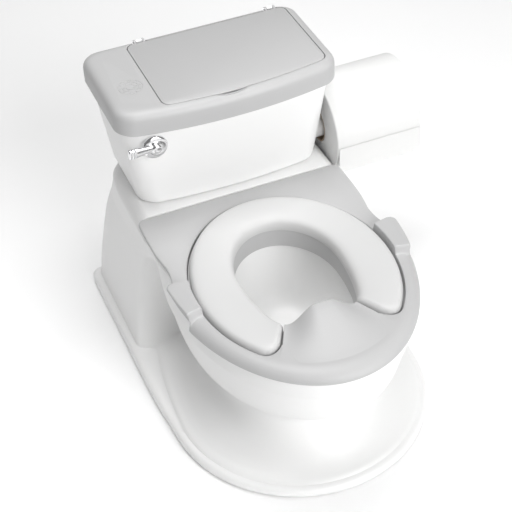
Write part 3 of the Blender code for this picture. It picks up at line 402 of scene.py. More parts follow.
def roundedBox(half, front, back, radius, bow=0.0, center=0.0, arcSteps=10, edgeSteps=24):
    points = arcPoints((center + half - radius, back - radius), radius, 0, 90, arcSteps)
    points += arcPoints((center - half + radius, back - radius), radius, 90, 180, arcSteps)
    points += arcPoints((center - half + radius, front + radius), radius, 180, 270, arcSteps)
    start, end = center - half + radius, center + half - radius
    points += [(start + (end - start) * i / edgeSteps, front) for i in range(1, edgeSteps)]
    points += arcPoints((center + half - radius, front + radius), radius, 270, 360, arcSteps)
    bowed = []
    for x, y in points:
        share = max(0.0, 1.0 - ((x - center) / half) ** 2)
        bowed.append((x, y - bow * share * (back - y) / (back - front)))
    return bowed


def easedBlock(name, low, high, slot=None, bend=0.0006):
    bm = bmesh.new()
    low, high = Vector(low), Vector(high)
    place = Matrix.Translation((low + high) / 2) @ Matrix.Diagonal((*(high - low), 1.0))
    bmesh.ops.create_cube(bm, size=1.0, matrix=place)
    if bend:
        bmesh.ops.bevel(bm, geom=bm.edges[:], offset=bend, segments=3, profile=0.5, affect="EDGES")
    return placeMesh(bm, bpy.data.meshes.new(name), slot, 50.0)


def carve(obj, cutters, operation="DIFFERENCE"):
    # cuts with, or joins, each cutter and then throws the cutters away
    for cutter in cutters:
        mod = obj.modifiers.new("carve", "BOOLEAN")
        mod.operation = operation
        mod.object = cutter
    bpy.context.view_layer.update()
    made = bpy.data.meshes.new_from_object(obj.evaluated_get(bpy.context.evaluated_depsgraph_get()))
    obj.modifiers.clear()
    obj.data = made
    for cutter in cutters:
        bpy.data.objects.remove(cutter)
    made.set_sharp_from_angle(angle=math.radians(35))
    return obj


def weld(name, pieces):
    # one object from several that overlap
    first = pieces[0]
    bm = bmesh.new()
    for piece in pieces:
        piece.data.transform(piece.matrix_world)
        bm.from_mesh(piece.data)
    bm.to_mesh(first.data)
    bm.free()
    first.matrix_world = Matrix.Identity(4)
    for piece in pieces[1:]:
        bpy.data.objects.remove(piece)
    first.name = name
    first.data.shade_smooth()
    first.data.set_sharp_from_angle(angle=math.radians(40))
    return first


def smoothStep(value, low, high):
    t = min(1.0, max(0.0, (value - low) / (high - low)))
    return t * t * (3 - 2 * t)


# pedestal: rear column and round bowl in one shell
pedestal = {
    "viewY": 0.068, "frontPower": 5, "points": 300, "cutPoints": 150, "wall": 0.003, "gap": 0.0003,
    "deckRear": 0.0638, "deckRim": 0.1732, "seatRim": 0.1660, "seatRimRear": -0.0495,
    "seatLevel": 0.1560, "openAbove": 0.1900,
    "rimColumn": (0.1425, -0.125, 0.2015, 24), "rimBowl": (0.1374, 0.1374, 0.15, -0.0788),
    "rimBlend": 60, "rimTop": 0.0085,
    # height, how far in from the outline
    "lip": [(0.0010, 0.0030), (0.0018, 0.0016), (0.0032, 0.0005), (0.0055, 0.0), (0.0085, 0.0003),
            (0.0102, 0.0012), (0.0114, 0.0028), (0.0120, 0.0050), (0.0123, 0.0075)],
    "shelfEdge": [(0.1690, 0.0014), (0.1720, 0.0036), (0.1745, 0.0062), (0.1765, 0.0092),
                  (0.1776, 0.0116), (0.1780, 0.0140)],
    "shelfHollow": [(0.1500, 0.0045), (0.1660, 0.0075), (0.1750, 0.0160)],
    # height, column half width, front, rear, corner power, bowl half width, front, rear, centre, blend
    "flare": [(0.0128, 0.1338, 0.040, 0.1965, 24, 0.1300, 0.1300, 0.265, -0.0788, 24),
              (0.0150, 0.1334, 0.041, 0.1963, 24, 0.1270, 0.1270, 0.245, -0.0785, 22),
              (0.0180, 0.1330, 0.042, 0.1962, 24, 0.1205, 0.1205, 0.212, -0.0775, 18),
              (0.0240, 0.1322, 0.043, 0.1958, 24, 0.1110, 0.1140, 0.180, -0.0745, 14),
              (0.0360, 0.1306, 0.044, 0.1955, 24, 0.0970, 0.1080, 0.150, -0.0670, 12),
              (0.0500, 0.1287, 0.044, 0.1950, 23, 0.0880, 0.1060, 0.134, -0.0600, 10),
              (0.0600, 0.1272, 0.044, 0.1946, 22, 0.0860, 0.1065, 0.130, -0.0580, 10),
              (0.0700, 0.1257, 0.043, 0.1943, 20, 0.0900, 0.1130, 0.134, -0.0560, 10),
              (0.0830, 0.1238, 0.042, 0.1940, 18, 0.1000, 0.1330, 0.140, -0.0530, 11),
              (0.0960, 0.1218, 0.040, 0.1938, 15, 0.1065, 0.1500, 0.146, -0.0510, 12),
              (0.1150, 0.1190, 0.038, 0.1935, 12, 0.1108, 0.1620, 0.152, -0.0490, 14),
              (0.1408, 0.1150, 0.034, 0.1932, 7, 0.1138, 0.1683, 0.170, -0.0470, 16)],
    "band": [(0.1422, 0.1150, 0.034, 0.1932, 7, 0.1170, 0.1717, 0.170, -0.0470, 18),
             (0.1560, 0.1146, 0.024, 0.1930, 5.6, 0.1166, 0.1713, 0.210, -0.0468, 30),
             (0.1662, 0.1143, 0.012, 0.1928, 5.2, 0.1160, 0.1706, 0.230, -0.0468, 50)],
    # the wall draws in under the deck's sides: depth, middle, half length, first and last height
    "pinch": (0.0048, -0.0180, 0.0310, 0.1430, 0.1640),
    # half width, length forward and back, centre, lowest and highest cut
    "potOpening": (0.0712, 0.1002, 0.0872, -0.075, 0.14, 0.17),
}


def eggReach(angle, centerY, half, front, rear, originY):
    # distance from (0, originY) to an egg round (0, centerY)
    dx, dy = math.cos(angle), math.sin(angle)
    best = 0.0
    for length, wantsFront in ((front, True), (rear, False)):
        a = (dx / half) ** 2 + (dy / length) ** 2
        b = 2 * dy * (originY - centerY) / length ** 2
        root = b * b - 4 * a * (((originY - centerY) / length) ** 2 - 1)
        if root >= 0:
            reach = (-b + math.sqrt(root)) / (2 * a)
            if (originY + reach * dy <= centerY) == wantsFront:
                best = max(best, reach)
    return best


def pedestalRing(level, inset=0.0, points=None):
    z, half, front, rear, corner, width, lengthFront, lengthRear, center, blend = level
    count = points or pedestal["points"]
    viewY = pedestal["viewY"]
    deep, middle, long, low, high = pedestal["pinch"]
    ring = []
    for i in range(count):
        angle = 2 * math.pi * i / count
        dx, dy = math.cos(angle), math.sin(angle)
        depth, power = ((rear - inset - viewY, corner) if dy >= 0
                        else (viewY - front, pedestal["frontPower"]))
        square = (abs(dx / (half - inset)) ** power + abs(dy / depth) ** power) ** (-1 / power)
        egg = eggReach(angle, center, width - inset, lengthFront - inset, lengthRear - inset, viewY)
        reach = (square ** blend + egg ** blend) ** (1 / blend)
        x, y = reach * dx, viewY + reach * dy
        if z > low and abs(y - middle) < long:
            fade = math.cos((y - middle) / long * math.pi / 2) ** 2 * smoothStep(z, low, high)
            x -= math.copysign(deep * fade, x)
        ring.append((x, y, z))
    return ring


def innerRing(level, inset):
    # the smallest reach near each angle, so that the wall keeps its thickness in the hollows
    viewY, count = pedestal["viewY"], pedestal["points"]
    reach = [math.hypot(x, y - viewY) for x, y, _ in pedestalRing(level)]
    ring = []
    for i in range(0, count, 2):
        least = min(reach[(i + step) % count] for step in range(-5, 6)) - inset
        angle = 2 * math.pi * i / count
        ring.append((least * math.cos(angle), viewY + least * math.sin(angle), level[0]))
    return ring


def rimLevel(z):
    return (z, *pedestal["rimColumn"], *pedestal["rimBowl"], pedestal["rimBlend"])


def wideBlock(name, front, rear, low, high):
    # a cutter that reaches past both sides of the chair
    return easedBlock(name, (-0.2, front, low), (0.2, rear, high), bend=0)


def buildPedestal():
    rings = [pedestalRing(rimLevel(z), inset) for z, inset in pedestal["lip"]]
    rings += [pedestalRing(level) for level in throughRows(pedestal["flare"], 6)]
    rings += [pedestalRing(level) for level in throughRows(pedestal["band"], 4)]
    top = pedestal["band"][-1][1:]
    rings += [pedestalRing((z, *top), inset) for z, inset in pedestal["shelfEdge"]]
    shell = skinOver("pedestal", rings, "white_plastic")

    wall, seatLevel, count = pedestal["wall"], pedestal["seatLevel"], pedestal["cutPoints"]
    deckEnd = pedestal["deckRear"] + pedestal["gap"]
    lower, upper = (row[1:] for row in pedestal["band"][1:])
    overDeck = wideBlock("cutOverDeck", -0.3, deckEnd, pedestal["deckRim"], 0.2)
    overSeat = wideBlock("cutOverSeat", -0.3, pedestal["seatRimRear"], pedestal["seatRim"], 0.2)
    levels = ((seatLevel, lower), (pedestal["seatRim"], upper), (pedestal["openAbove"], upper))
    pocket = skinOver("cutPocket", [pedestalRing((z, *row), wall, count) for z, row in levels])
    carve(pocket, [wideBlock("keepFront", -0.3, deckEnd, 0.1, 0.2)], "INTERSECT")
    inside = [pedestalRing(rimLevel(z), wall, count) for z in (-0.01, pedestal["rimTop"])]
    for z, *outline in throughRows(pedestal["flare"], 2):
        # below, the rows drop by the wall's thickness, because the top of the base slopes
        inside.append(innerRing((z - wall if z < 0.05 else z, *outline), wall))
    inside.append(pedestalRing((seatLevel - wall, *lower), wall, count))
    shelf = skinOver("cutShelf", [pedestalRing((z, *upper), inset, count)
                                  for z, inset in pedestal["shelfHollow"]])
    carve(shelf, [wideBlock("keepRear", deckEnd + wall, 0.3, 0.1, 0.2)], "INTERSECT")
    half, long, short, centerY, cutLow, cutHigh = pedestal["potOpening"]
    opening = []
    for i in range(90):
        angle = math.radians(4 * i)
        length = short if i < 45 else long
        opening.append((half * math.cos(angle), centerY + length * math.sin(angle)))
    carve(shell, [overDeck, overSeat, pocket, skinOver("cutInside", inside), shelf,
                  skinOver("cutPot", [levelRing(opening, cutLow), levelRing(opening, cutHigh)])])
    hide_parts("base_shell")
    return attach(shell, "chair")


buildPedestal()
print("pedestal built")


# deck: the plate that frames the seat, with S-shaped sides
deck = {"top": 0.1772, "low": 0.1735, "rear": 0.0638, "half": 0.1142, "corner": 0.0080,
        # how far in from the half width, place from rear to front
        "side": [(-0.0003, 0.0460), (-0.0004, 0.0360), (-0.0004, 0.0240), (0.0000, 0.0080),
                 (0.0015, -0.0070), (0.0032, -0.0190), (0.0026, -0.0310), (0.0006, -0.0410)],
        "edge": 0.0014, "wall": 0.0022}


def buildDeck():
    top, low, rear, half = deck["top"], deck["low"], deck["rear"], deck["half"]
    openA, openB, openY = seat["opening"]
    endAngle = math.radians(seat["grip"][1] + 0.5)
    reachOut = half - 0.0002
    right = [(0.0, rear), (0.05, rear)]
    right += arcPoints((half - deck["corner"], rear - deck["corner"]), deck["corner"], 90, 0, 8)
    right += [(half - inset, y) for inset, y in throughRows(deck["side"], 3)]
    right += [(reachOut, seat["centerY"] + reachOut * math.tan(endAngle))]
    first = math.asin((seat["centerY"] + 0.1 * math.tan(endAngle) - openY) / openB)
    for i in range(49):
        angle = first + (math.pi / 2 - first) * i / 48
        right.append((openA * math.cos(angle), openY + openB * math.sin(angle)))
    outline = right + [(-x, y) for x, y in right[1:-1]][::-1]
    count = len(outline)
    bm = bmesh.new()
    upper = [bm.verts.new((x, y, top)) for x, y in outline]
    lower = [bm.verts.new((x, y, low)) for x, y in outline]
    bm.faces.new(upper)
    for i in range(count):
        j = (i + 1) % count
        bm.faces.new((upper[i], lower[i], lower[j], upper[j]))
    bmesh.ops.recalc_face_normals(bm, faces=bm.faces)
    rim = [edge for edge in bm.edges if edge.verts[0] in set(upper) and edge.verts[1] in set(upper)]
    bmesh.ops.bevel(bm, geom=rim, offset=deck["edge"], segments=4, profile=0.5, affect="EDGES",
                    clamp_overlap=True)
    plate = placeMesh(bm, bpy.data.meshes.new("deck"), "grey_plastic", 40.0)
    wall = plate.modifiers.new("wall", "SOLIDIFY")
    wall.thickness, wall.offset = deck["wall"], -1.0
    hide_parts("seat_deck")
    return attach(plate, "chair")


# seat: oval ring with hand grips, splash guard and a recess for the cushion
seat = {"centerY": -0.070,
        # grips: first and last angle, top, and the rounding of their ends
        "grip": (-13.5, 9.3), "gripTop": 0.1865, "gripInset": 0.0012, "gripUnder": 0.0070,
        "gripCorner": 0.0070,
        # guard: half angle, height over the ring, where it falls off to the sides and outwards
        "guard": 28.0, "guardRise": 0.0165, "guardSide": (0.0060, 0.0370), "guardRun": (0.02, 1.10),
        "ringTop": 0.1784, "rearTop": 0.1744, "recess": 0.1685, "lapLow": 0.1664, "floorLow": 0.1603,
        "skirtLow": 0.1470, "holeFront": -0.1445,
        # half width, length or front and rear lengths, centre
        "hole": (0.0535, 0.110, 0.069, -0.068), "opening": (0.1028, 0.1245, -0.0811),
        "ring": (0.1253, 0.1785, -0.0464), "overRim": (0.1130, 0.1678, -0.0468)}


def holeReach(angle):
    half, front, rear, center = seat["hole"]
    egg = eggReach(angle, center, half, front, rear, seat["centerY"])
    if math.sin(angle) >= -0.2:
        return egg
    line = (seat["holeFront"] - seat["centerY"]) / math.sin(angle)
    return (egg ** -14 + line ** -14) ** (-1 / 14)


def openingReach(angle):
    half, length, center = seat["opening"]
    return eggReach(angle, center, half, length, length, seat["centerY"])


def foldedDegrees(angle):
    degrees = math.degrees(angle) % 360
    degrees = degrees - 360 if degrees > 270 else degrees
    return 180 - degrees if degrees > 90 else degrees


def lobeWidth(past):
    # how wide the cushion's rounded end is, at a distance past its tip
    t = min(1.0, (past + 0.0006) / cushion["lobeRound"])
    tip = cushion["lobeTip"]
    return tip + (1 - tip) * math.sqrt(1 - (1 - t) ** 2)


def mixRows(first, second, share):
    return [tuple(a + (b - a) * share for a, b in zip(one, two)) for one, two in zip(first, second)]


def seatSection(angle):
    degrees = foldedDegrees(angle)
    hole, opening = holeReach(angle), openingReach(angle)
    half, length, center = seat["ring"]
    gripStart, gripEnd = seat["grip"]
    inFront = degrees < gripEnd + 0.2
    onGrip = smoothStep(degrees, gripStart - 1.7, gripStart + 0.9) if inFront else 0.0
    onGuard = 1 - smoothStep(degrees, -90 + seat["guard"] - 0.5, -90 + seat["guard"] + 0.5)
    if inFront:
        outer = eggReach(angle, center, half, length, length, seat["centerY"])
        rimIn = opening
        past = math.radians(degrees + 90 - seat["guard"]) * cushion["endReach"]
        rimIn = hole + (opening - hole) * lobeWidth(max(0.0, past))
        widen = 1 - smoothStep(degrees, -90 + seat["guard"] - 9, -90 + seat["guard"] - 0.5)
        rimIn += (opening - rimIn) * widen
    else:
        outer = opening - 0.0007
        rimIn = outer - 0.0014
    band = outer - opening
    top, corner = seat["gripTop"], seat["gripCorner"]
    ringTop, rearTop = seat["ringTop"], seat["rearTop"]
    toEnd = max(0.0, min(corner, math.radians(gripEnd - degrees) * outer))
    gripOut = outer - seat["gripInset"] - corner + math.sqrt(corner ** 2 - (corner - toEnd) ** 2)
    if inFront:
        plain = [(rimIn, ringTop, 0.0010), (opening + 0.25 * band, ringTop + 0.0003, 0.004),
                 (opening + 0.55 * band, ringTop - 0.0010, 0.005),
                 (opening + 0.82 * band, ringTop - 0.0038, 0.004),
                 (outer - 0.0002, ringTop - 0.0082, 0.004)]
        raised = [(rimIn, top - 0.0002, 0.0016), (rimIn + 0.40 * (gripOut - rimIn), top, 0.003),
                  (gripOut - 0.0008, top - 0.0001, 0.0014), (gripOut, top - 0.0028, 0.0014),
                  (gripOut - 0.0062, top - 0.0042, 0.002)]
        rim = mixRows(plain, raised, onGrip)
    else:
        rim = [(rimIn, rearTop - 0.0002, 0.0003), (rimIn + 0.0003, rearTop, 0.0003),
               (outer - 0.0006, rearTop, 0.0003), (outer - 0.0001, rearTop - 0.0002, 0.0003),
               (outer, rearTop - 0.0044, 0.001)]
    recess = seat["recess"]
    shares = (0.0, 0.06, 0.16, 0.28, 0.40, 0.52, 0.64, 0.76, 0.88)
    plainFloor = [(hole + share * (rimIn - hole), recess, 0.0006) for share in shares]
    plainFloor.append((rimIn - 0.0002, recess, 0.0008))
    floor = plainFloor
    if onGuard > 0:
        side = abs(hole * math.cos(angle))
        rise = seat["guardRise"] * (1 - smoothStep(side, *seat["guardSide"]))
        start = hole - 0.0025 * rise / seat["guardRise"]
        filled = []
        for share in (*shares, 0.985):
            radius = start + share * (rimIn - start)
            lift = rise * (1 - smoothStep((radius - start) / (opening - start), *seat["guardRun"]))
            filled.append((radius, ringTop + lift, 0.0036 if share == 0.0 else 0.002))
        rim = [(radius, z + rise * (1 - smoothStep((radius - start) / (opening - start),
                                                   *seat["guardRun"])), bend) for radius, z, bend in rim]
        floor = mixRows(plainFloor, filled, onGuard)
    lapLow, floorLow = seat["lapLow"], seat["floorLow"]
    if inFront:
        # the ring laps over the pedestal's rim and drops inside it
        half, length, center = seat["overRim"]
        drop = eggReach(angle, center, half, length, length, seat["centerY"])
        edge = outer - seat["gripUnder"] * onGrip
        under = [(edge, lapLow + 0.0018, 0.002), (edge - 0.0010, lapLow, 0.0008), (drop, lapLow, 0.0004)]
    else:
        drop = outer - 0.0006
        under = [(outer, lapLow + 0.0016, 0.0003), (outer - 0.0002, lapLow + 0.0001, 0.0001),
                 (drop, lapLow, 0.0001)]
    under += [(drop, floorLow, 0.0004), (hole + 0.0030, floorLow, 0.0006),
              (hole + 0.0024, seat["skirtLow"], 0.0008), (hole, seat["skirtLow"], 0.0008)]
    line = easedLine(floor + rim + under, 3, closed=True)
    dx, dy = math.cos(angle), math.sin(angle)
    return [(radius * dx, seat["centerY"] + radius * dy, z) for radius, z in line]


def seatAngles():
    right = [-90 + 1.25 * i for i in range(145)]
    for place, spread in ((-90 + seat["guard"], 0.5), (seat["grip"][0] - 0.1, 0.8)):
        right += [place + spread * k / 4 for k in range(-5, 6)]
    right += [seat["grip"][1] + step for step in (-0.5, 0.19, 0.21, 0.5)]
    right = sorted(set(round(angle, 4) for angle in right if -90 <= angle <= 90))
    left = [180 - angle for angle in right[::-1] if -90 < angle < 90]
    return [math.radians(angle) for angle in right + left]


def buildSeat():
    ring = skinOver("seatRing", [seatSection(angle) for angle in seatAngles()], "grey_plastic",
                    joinEnds=True, sharpAngle=48.0)
    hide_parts("seat_ring")
    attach(ring, "seat")
    for number in range(1, 5):
        low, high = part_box(f"grip_pad_{number}")
        middle, reach = (low + high) / 2, (high.x - low.x) / 2
        pad = turnedPiece(f"gripPad{number}",
                          [(0.0, high.z), (reach - 0.0004, high.z), (reach, high.z - 0.0008),
                           (reach, low.z + 0.0008), (reach - 0.0006, low.z), (reach * 0.55, low.z),
                           (reach * 0.5, low.z + 0.0005), (0.0, low.z + 0.0005)],
                          (middle.x, middle.y, 0), "Z", "rubber", 40)
        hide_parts(f"grip_pad_{number}")
        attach(pad, "seat")


# cushion: crowned horseshoe of moulded foam
cushion = {"startGap": 0.8, "rimGap": 0.0022, "low": 0.1688, "sections": 260,
           # the rounded ends: share of the width at the tip, and how soon width and height are full
           "lobeTip": 0.42, "lobeRound": 0.0150, "endRound": 0.0050, "endReach": 0.092,
           # share of the width from the hole outwards, height above the recess
           "crown": [(0.000, 0.0000), (-0.002, 0.0030), (0.010, 0.0064), (0.048, 0.0100),
                     (0.130, 0.0125), (0.260, 0.0139), (0.450, 0.0147), (0.660, 0.0149),
                     (0.820, 0.0145), (0.920, 0.0134), (0.970, 0.0112), (0.996, 0.0076),
                     (1.000, 0.0038), (0.992, 0.0000)]}


def cushionSection(degrees):
    angle = math.radians(degrees)
    first = -90 + seat["guard"] + cushion["startGap"]
    toEnd = math.radians(max(0.0, min(degrees - first, 180 - first - degrees))) * cushion["endReach"]
    hole = holeReach(angle) - 0.0004
    outer = openingReach(angle) - cushion["rimGap"]
    e = min(1.0, toEnd / cushion["endRound"])
    tall = 0.45 + 0.55 * (1 - (1 - e) ** 2.4) ** (1 / 2.0)
    width = (outer - hole) * lobeWidth(toEnd)
    soft = throughRows(cushion["crown"], 3)
    return [((hole + share * width) * math.cos(angle),
             seat["centerY"] + (hole + share * width) * math.sin(angle),
             cushion["low"] + rise * tall) for share, rise in soft]


def buildCushion():
    first = -90 + seat["guard"] + cushion["startGap"]
    last = 180 - first
    early = [first + 0.25 * i ** 1.35 for i in range(22)]
    late = [last - (angle - first) for angle in early[::-1]]
    count = cushion["sections"]
    middle = [early[-1] + (late[0] - early[-1]) * i / count for i in range(1, count)]
    sections = [cushionSection(degrees) for degrees in early + middle + late]
    pad = skinOver("foamCushion", sections, "cushion_skin", sharpAngle=62.0)
    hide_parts("seat_cushion")
    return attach(pad, "seat")


buildDeck()
buildSeat()
buildCushion()
print("deck, seat and cushion built")


# pot: white inner bowl that hangs in the pedestal
pot = {"center": -0.075, "half": 0.0660, "front": 0.0950, "rear": 0.0820,
       # share of the outline, height
       "outside": [(1.17, 0.1583), (1.172, 0.1573), (1.16, 0.1563), (1.055, 0.1561), (1.035, 0.1500),
                   (1.0, 0.125), (0.93, 0.105), (0.80, 0.085), (0.62, 0.0745), (0.40, 0.0705)],
       "inside": [(0.38, 0.0730), (0.60, 0.0772), (0.77, 0.0872), (0.895, 0.1065), (0.96, 0.126),
                  (0.995, 0.1500), (1.01, 0.1583)]}


def potRing(share, z):
    points = []
    for i in range(120):
        angle = 2 * math.pi * i / 120
        length = pot["rear"] if math.sin(angle) >= 0 else pot["front"]
        points.append((pot["half"] * share * math.cos(angle),
                       pot["center"] + length * share * math.sin(angle), z))
    return points


def buildPot():
    outer = [potRing(share, z) for share, z in throughRows(pot["outside"], 5)]
    outer += [potRing(0.2, 0.0703), potRing(0.001, 0.0703)]
    inner = [potRing(0.001, 0.0726), potRing(0.2, 0.0727)]
    inner += [potRing(share, z) for share, z in throughRows(pot["inside"], 5)]
    bowl = skinOver("pottyPot", outer + inner, "white_plastic", joinEnds=True)
    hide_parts("potty_bowl")
    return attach(bowl, "pot")


buildPot()


# tank: tapered, its front bowed forward
tank = {"bottom": 0.1783, "top": 0.2820, "back": 0.1925, "halfLow": 0.1010, "halfGain": 0.0143,
        "frontLow": 0.0815, "frontGain": -0.0095, "corner": 0.020, "bowLow": 0.0080, "bowGain": 0.0050,
        "wall": 0.0025, "straightFrom": 0.1840, "doorGap": 0.0004,
        # height, how far in from the outline
        "foot": [(0.1783, 0.0048), (0.1785, 0.0034), (0.1792, 0.0018), (0.1803, 0.0007),
                 (0.1820, 0.0001)]}


def tankRing(z, inset=0.0):
    share = (z - tank["bottom"]) / (tank["top"] - tank["bottom"])
    outline = roundedBox(tank["halfLow"] + tank["halfGain"] * share - inset,
                         tank["frontLow"] + tank["frontGain"] * share + inset, tank["back"] - inset,
                         tank["corner"] - 0.7 * inset, tank["bowLow"] + tank["bowGain"] * share,
                         arcSteps=12, edgeSteps=32)
    return levelRing(outline, z)


def buildTank():
    rings = [tankRing(z, inset) for z, inset in tank["foot"]]
    start = tank["straightFrom"]
    rings += [tankRing(start + (tank["top"] - start) * i / 12) for i in range(13)]
    shell = skinOver("tankShell", rings, "white_plastic", capLast=False)
    wall = shell.modifiers.new("wall", "SOLIDIFY")
    wall.thickness, wall.offset = tank["wall"], -1.0
    low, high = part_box("battery_door")
    gap = tank["doorGap"]
    carve(shell, [easedBlock("cutDoor", (low.x - gap, 0.180, low.z - gap),
                             (high.x + gap, 0.2, high.z + gap), bend=0)])
    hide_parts("tank_body")
    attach(shell, "chair")

    door = easedBlock("batteryCover", low, high, "white_plastic", 0.0007)
    ribs = [easedBlock("rib", (low.x + 0.005, high.y - 0.0004, low.z + 0.006 + 0.0028 * i),
                       (high.x - 0.005, high.y + 0.002, low.z + 0.0072 + 0.0028 * i), bend=0)
            for i in range(5)]
    sinkX, sinkZ = (low.x + high.x) / 2, high.z - 0.0042
    sink = turnedPiece("sink", [(0.0, 0.003), (0.0027, 0.003), (0.0025, -0.0012), (0.0, -0.0012)],
                       (sinkX, high.y, sinkZ), "Y")
    carve(door, ribs + [sink])
    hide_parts("battery_door")
    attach(door, "chair")


def crossHeadScrew(name, node, place, axis, radius, tall, body):
    # pan head with a cross recess; the head's crown points along +axis
    head = turnedPiece(name, [(0.0, tall), (radius * 0.55, tall * 0.96), (radius * 0.9, tall * 0.62),
                              (radius, tall * 0.25), (radius, 0.0), (radius * 0.42, 0.0),
                              (radius * 0.42, -0.004), (0.0, -0.0045)], place, axis, "steel", 40,
                       bend=0.0003)
    slots = []
    arm, thin = radius * 0.62, radius * 0.13
    for wide, deep in ((arm, thin), (thin, arm)):
        block = easedBlock("slot", (-wide, -deep, tall * 0.25), (wide, deep, tall + 0.001), bend=0)
        block.data.transform(Matrix.Translation(place) @ axisTurns[axis])
        slots.append(block)
    carve(head, slots)
    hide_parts(node)
    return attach(head, body)


buildTank()
screwLow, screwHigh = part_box("battery_door_screw")
screwPlace = ((screwLow.x + screwHigh.x) / 2, screwHigh.y - 0.0014, (screwLow.z + screwHigh.z) / 2)
crossHeadScrew("coverScrew", "battery_door_screw", screwPlace, "Y", 0.0022, 0.0011, "chair")
print("pot and tank built")


# lid with its flap, hinges and speaker grille
lid = {"half": 0.1202, "front": 0.0678, "back": 0.1970, "bow": 0.0140, "bottom": 0.2808,
       "top": 0.3055, "corner": 0.019, "plate": 0.0028, "grille": (-0.0905, 0.1140),
       # height, how far in from the outline
       "edge": [(0.2808, 0.0004), (0.2812, 0.0), (0.2900, 0.0), (0.2965, 0.0001), (0.2990, 0.0006),
                (0.3010, 0.0014), (0.3028, 0.0028), (0.3042, 0.0048), (0.3050, 0.0070),
                (0.3054, 0.0095), (0.3055, 0.0125)],
       "scoop": ((-0.0010, 0.0648, 0.3066), (0.0190, 0.0080, 0.0034))}
flap = {"x": (-0.0705, 0.1090), "inset": 0.0110, "rear": 0.1885, "thick": 0.0022, "corner": 0.0080,
        "gap": 0.0007, "hingeX": (-0.0545, 0.0945), "hingeY": 0.1932, "hingeZ": 0.3046}


def lidRing(z, inset):
    outline = roundedBox(lid["half"] - inset, lid["front"] + inset, lid["back"] - inset,
                         lid["corner"] - 0.6 * inset, lid["bow"], arcSteps=14, edgeSteps=40)
    return levelRing(outline, z)


def flapOutline(shrink=0.0):
    left, right = flap["x"]
    half, center = (right - left) / 2 - shrink, (left + right) / 2
    front = lid["front"] + flap["inset"]
    outline = roundedBox(half, front + shrink, flap["rear"] - shrink, flap["corner"], center=center,
                         arcSteps=9, edgeSteps=36)
    bowed = []
    for x, y in outline:
        share = 1 - (x / lid["half"]) ** 2
        bowed.append((x, y - lid["bow"] * share * max(0.0, flap["rear"] - shrink - y)
                      / (flap["rear"] - front)))
    return bowed


def buildLid():
    cover = skinOver("tankLid", [lidRing(z, inset) for z, inset in lid["edge"]], "grey_plastic")
    ceiling = lid["top"] - lid["plate"]
    inner = [(lid["bottom"] - 0.01, tank["wall"]), (0.2960, tank["wall"]), (0.3007, 0.0045),
             (ceiling, 0.0075)]
    opening = [levelRing(flapOutline(-flap["gap"] - ease), z)
               for z, ease in ((0.290, 0.0), (lid["top"] - 0.0004, 0.0), (lid["top"], 0.0004),
                               (0.312, 0.0005))]
    cutters = [skinOver("cutLid", [lidRing(z, inset) for z, inset in inner]),
               skinOver("cutFlap", opening)]
    for x in flap["hingeX"]:
        cutters.append(easedBlock("cutHinge", (x - 0.0078, flap["rear"] - 0.003, 0.2982),
                                  (x + 0.0078, 0.2, 0.315), bend=0.0005))
    bm = bmesh.new()
    place, size = lid["scoop"]
    bmesh.ops.create_uvsphere(bm, u_segments=64, v_segments=32, radius=1.0,
                              matrix=Matrix.Translation(place) @ Matrix.Diagonal((*size, 1.0)))
    mesh = bpy.data.meshes.new("cutScoop")
    bm.to_mesh(mesh)
    bm.free()
    scoop = bpy.data.objects.new("cutScoop", mesh)
    scene.collection.objects.link(scoop)
    cutters.append(scoop)
    grilleX, grilleY = lid["grille"]
    for radius in (0.0045, 0.0085, 0.0125):
        groove = [(radius + 0.0005, 0.002), (radius + 0.0004, -0.0004), (radius - 0.0004, -0.0004),
                  (radius - 0.0005, 0.002)]
        cutters.append(turnedPiece("cutGroove", groove, (grilleX, grilleY, lid["top"]), "Z"))
    for ringRadius, count in ((0.0065, 6), (0.0105, 10)):
        for i in range(count):
            angle = 2 * math.pi * i / count
            cutters.append(turnedPiece(
                "cutHole", [(0.0, 0.004), (0.0005, 0.004), (0.0005, -0.006), (0.0, -0.006)],
                (grilleX + ringRadius * math.cos(angle), grilleY + ringRadius * math.sin(angle),
                 lid["top"]), "Z", steps=16))
    carve(cover, cutters)
    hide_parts("tank_lid")
    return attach(cover, "chair")


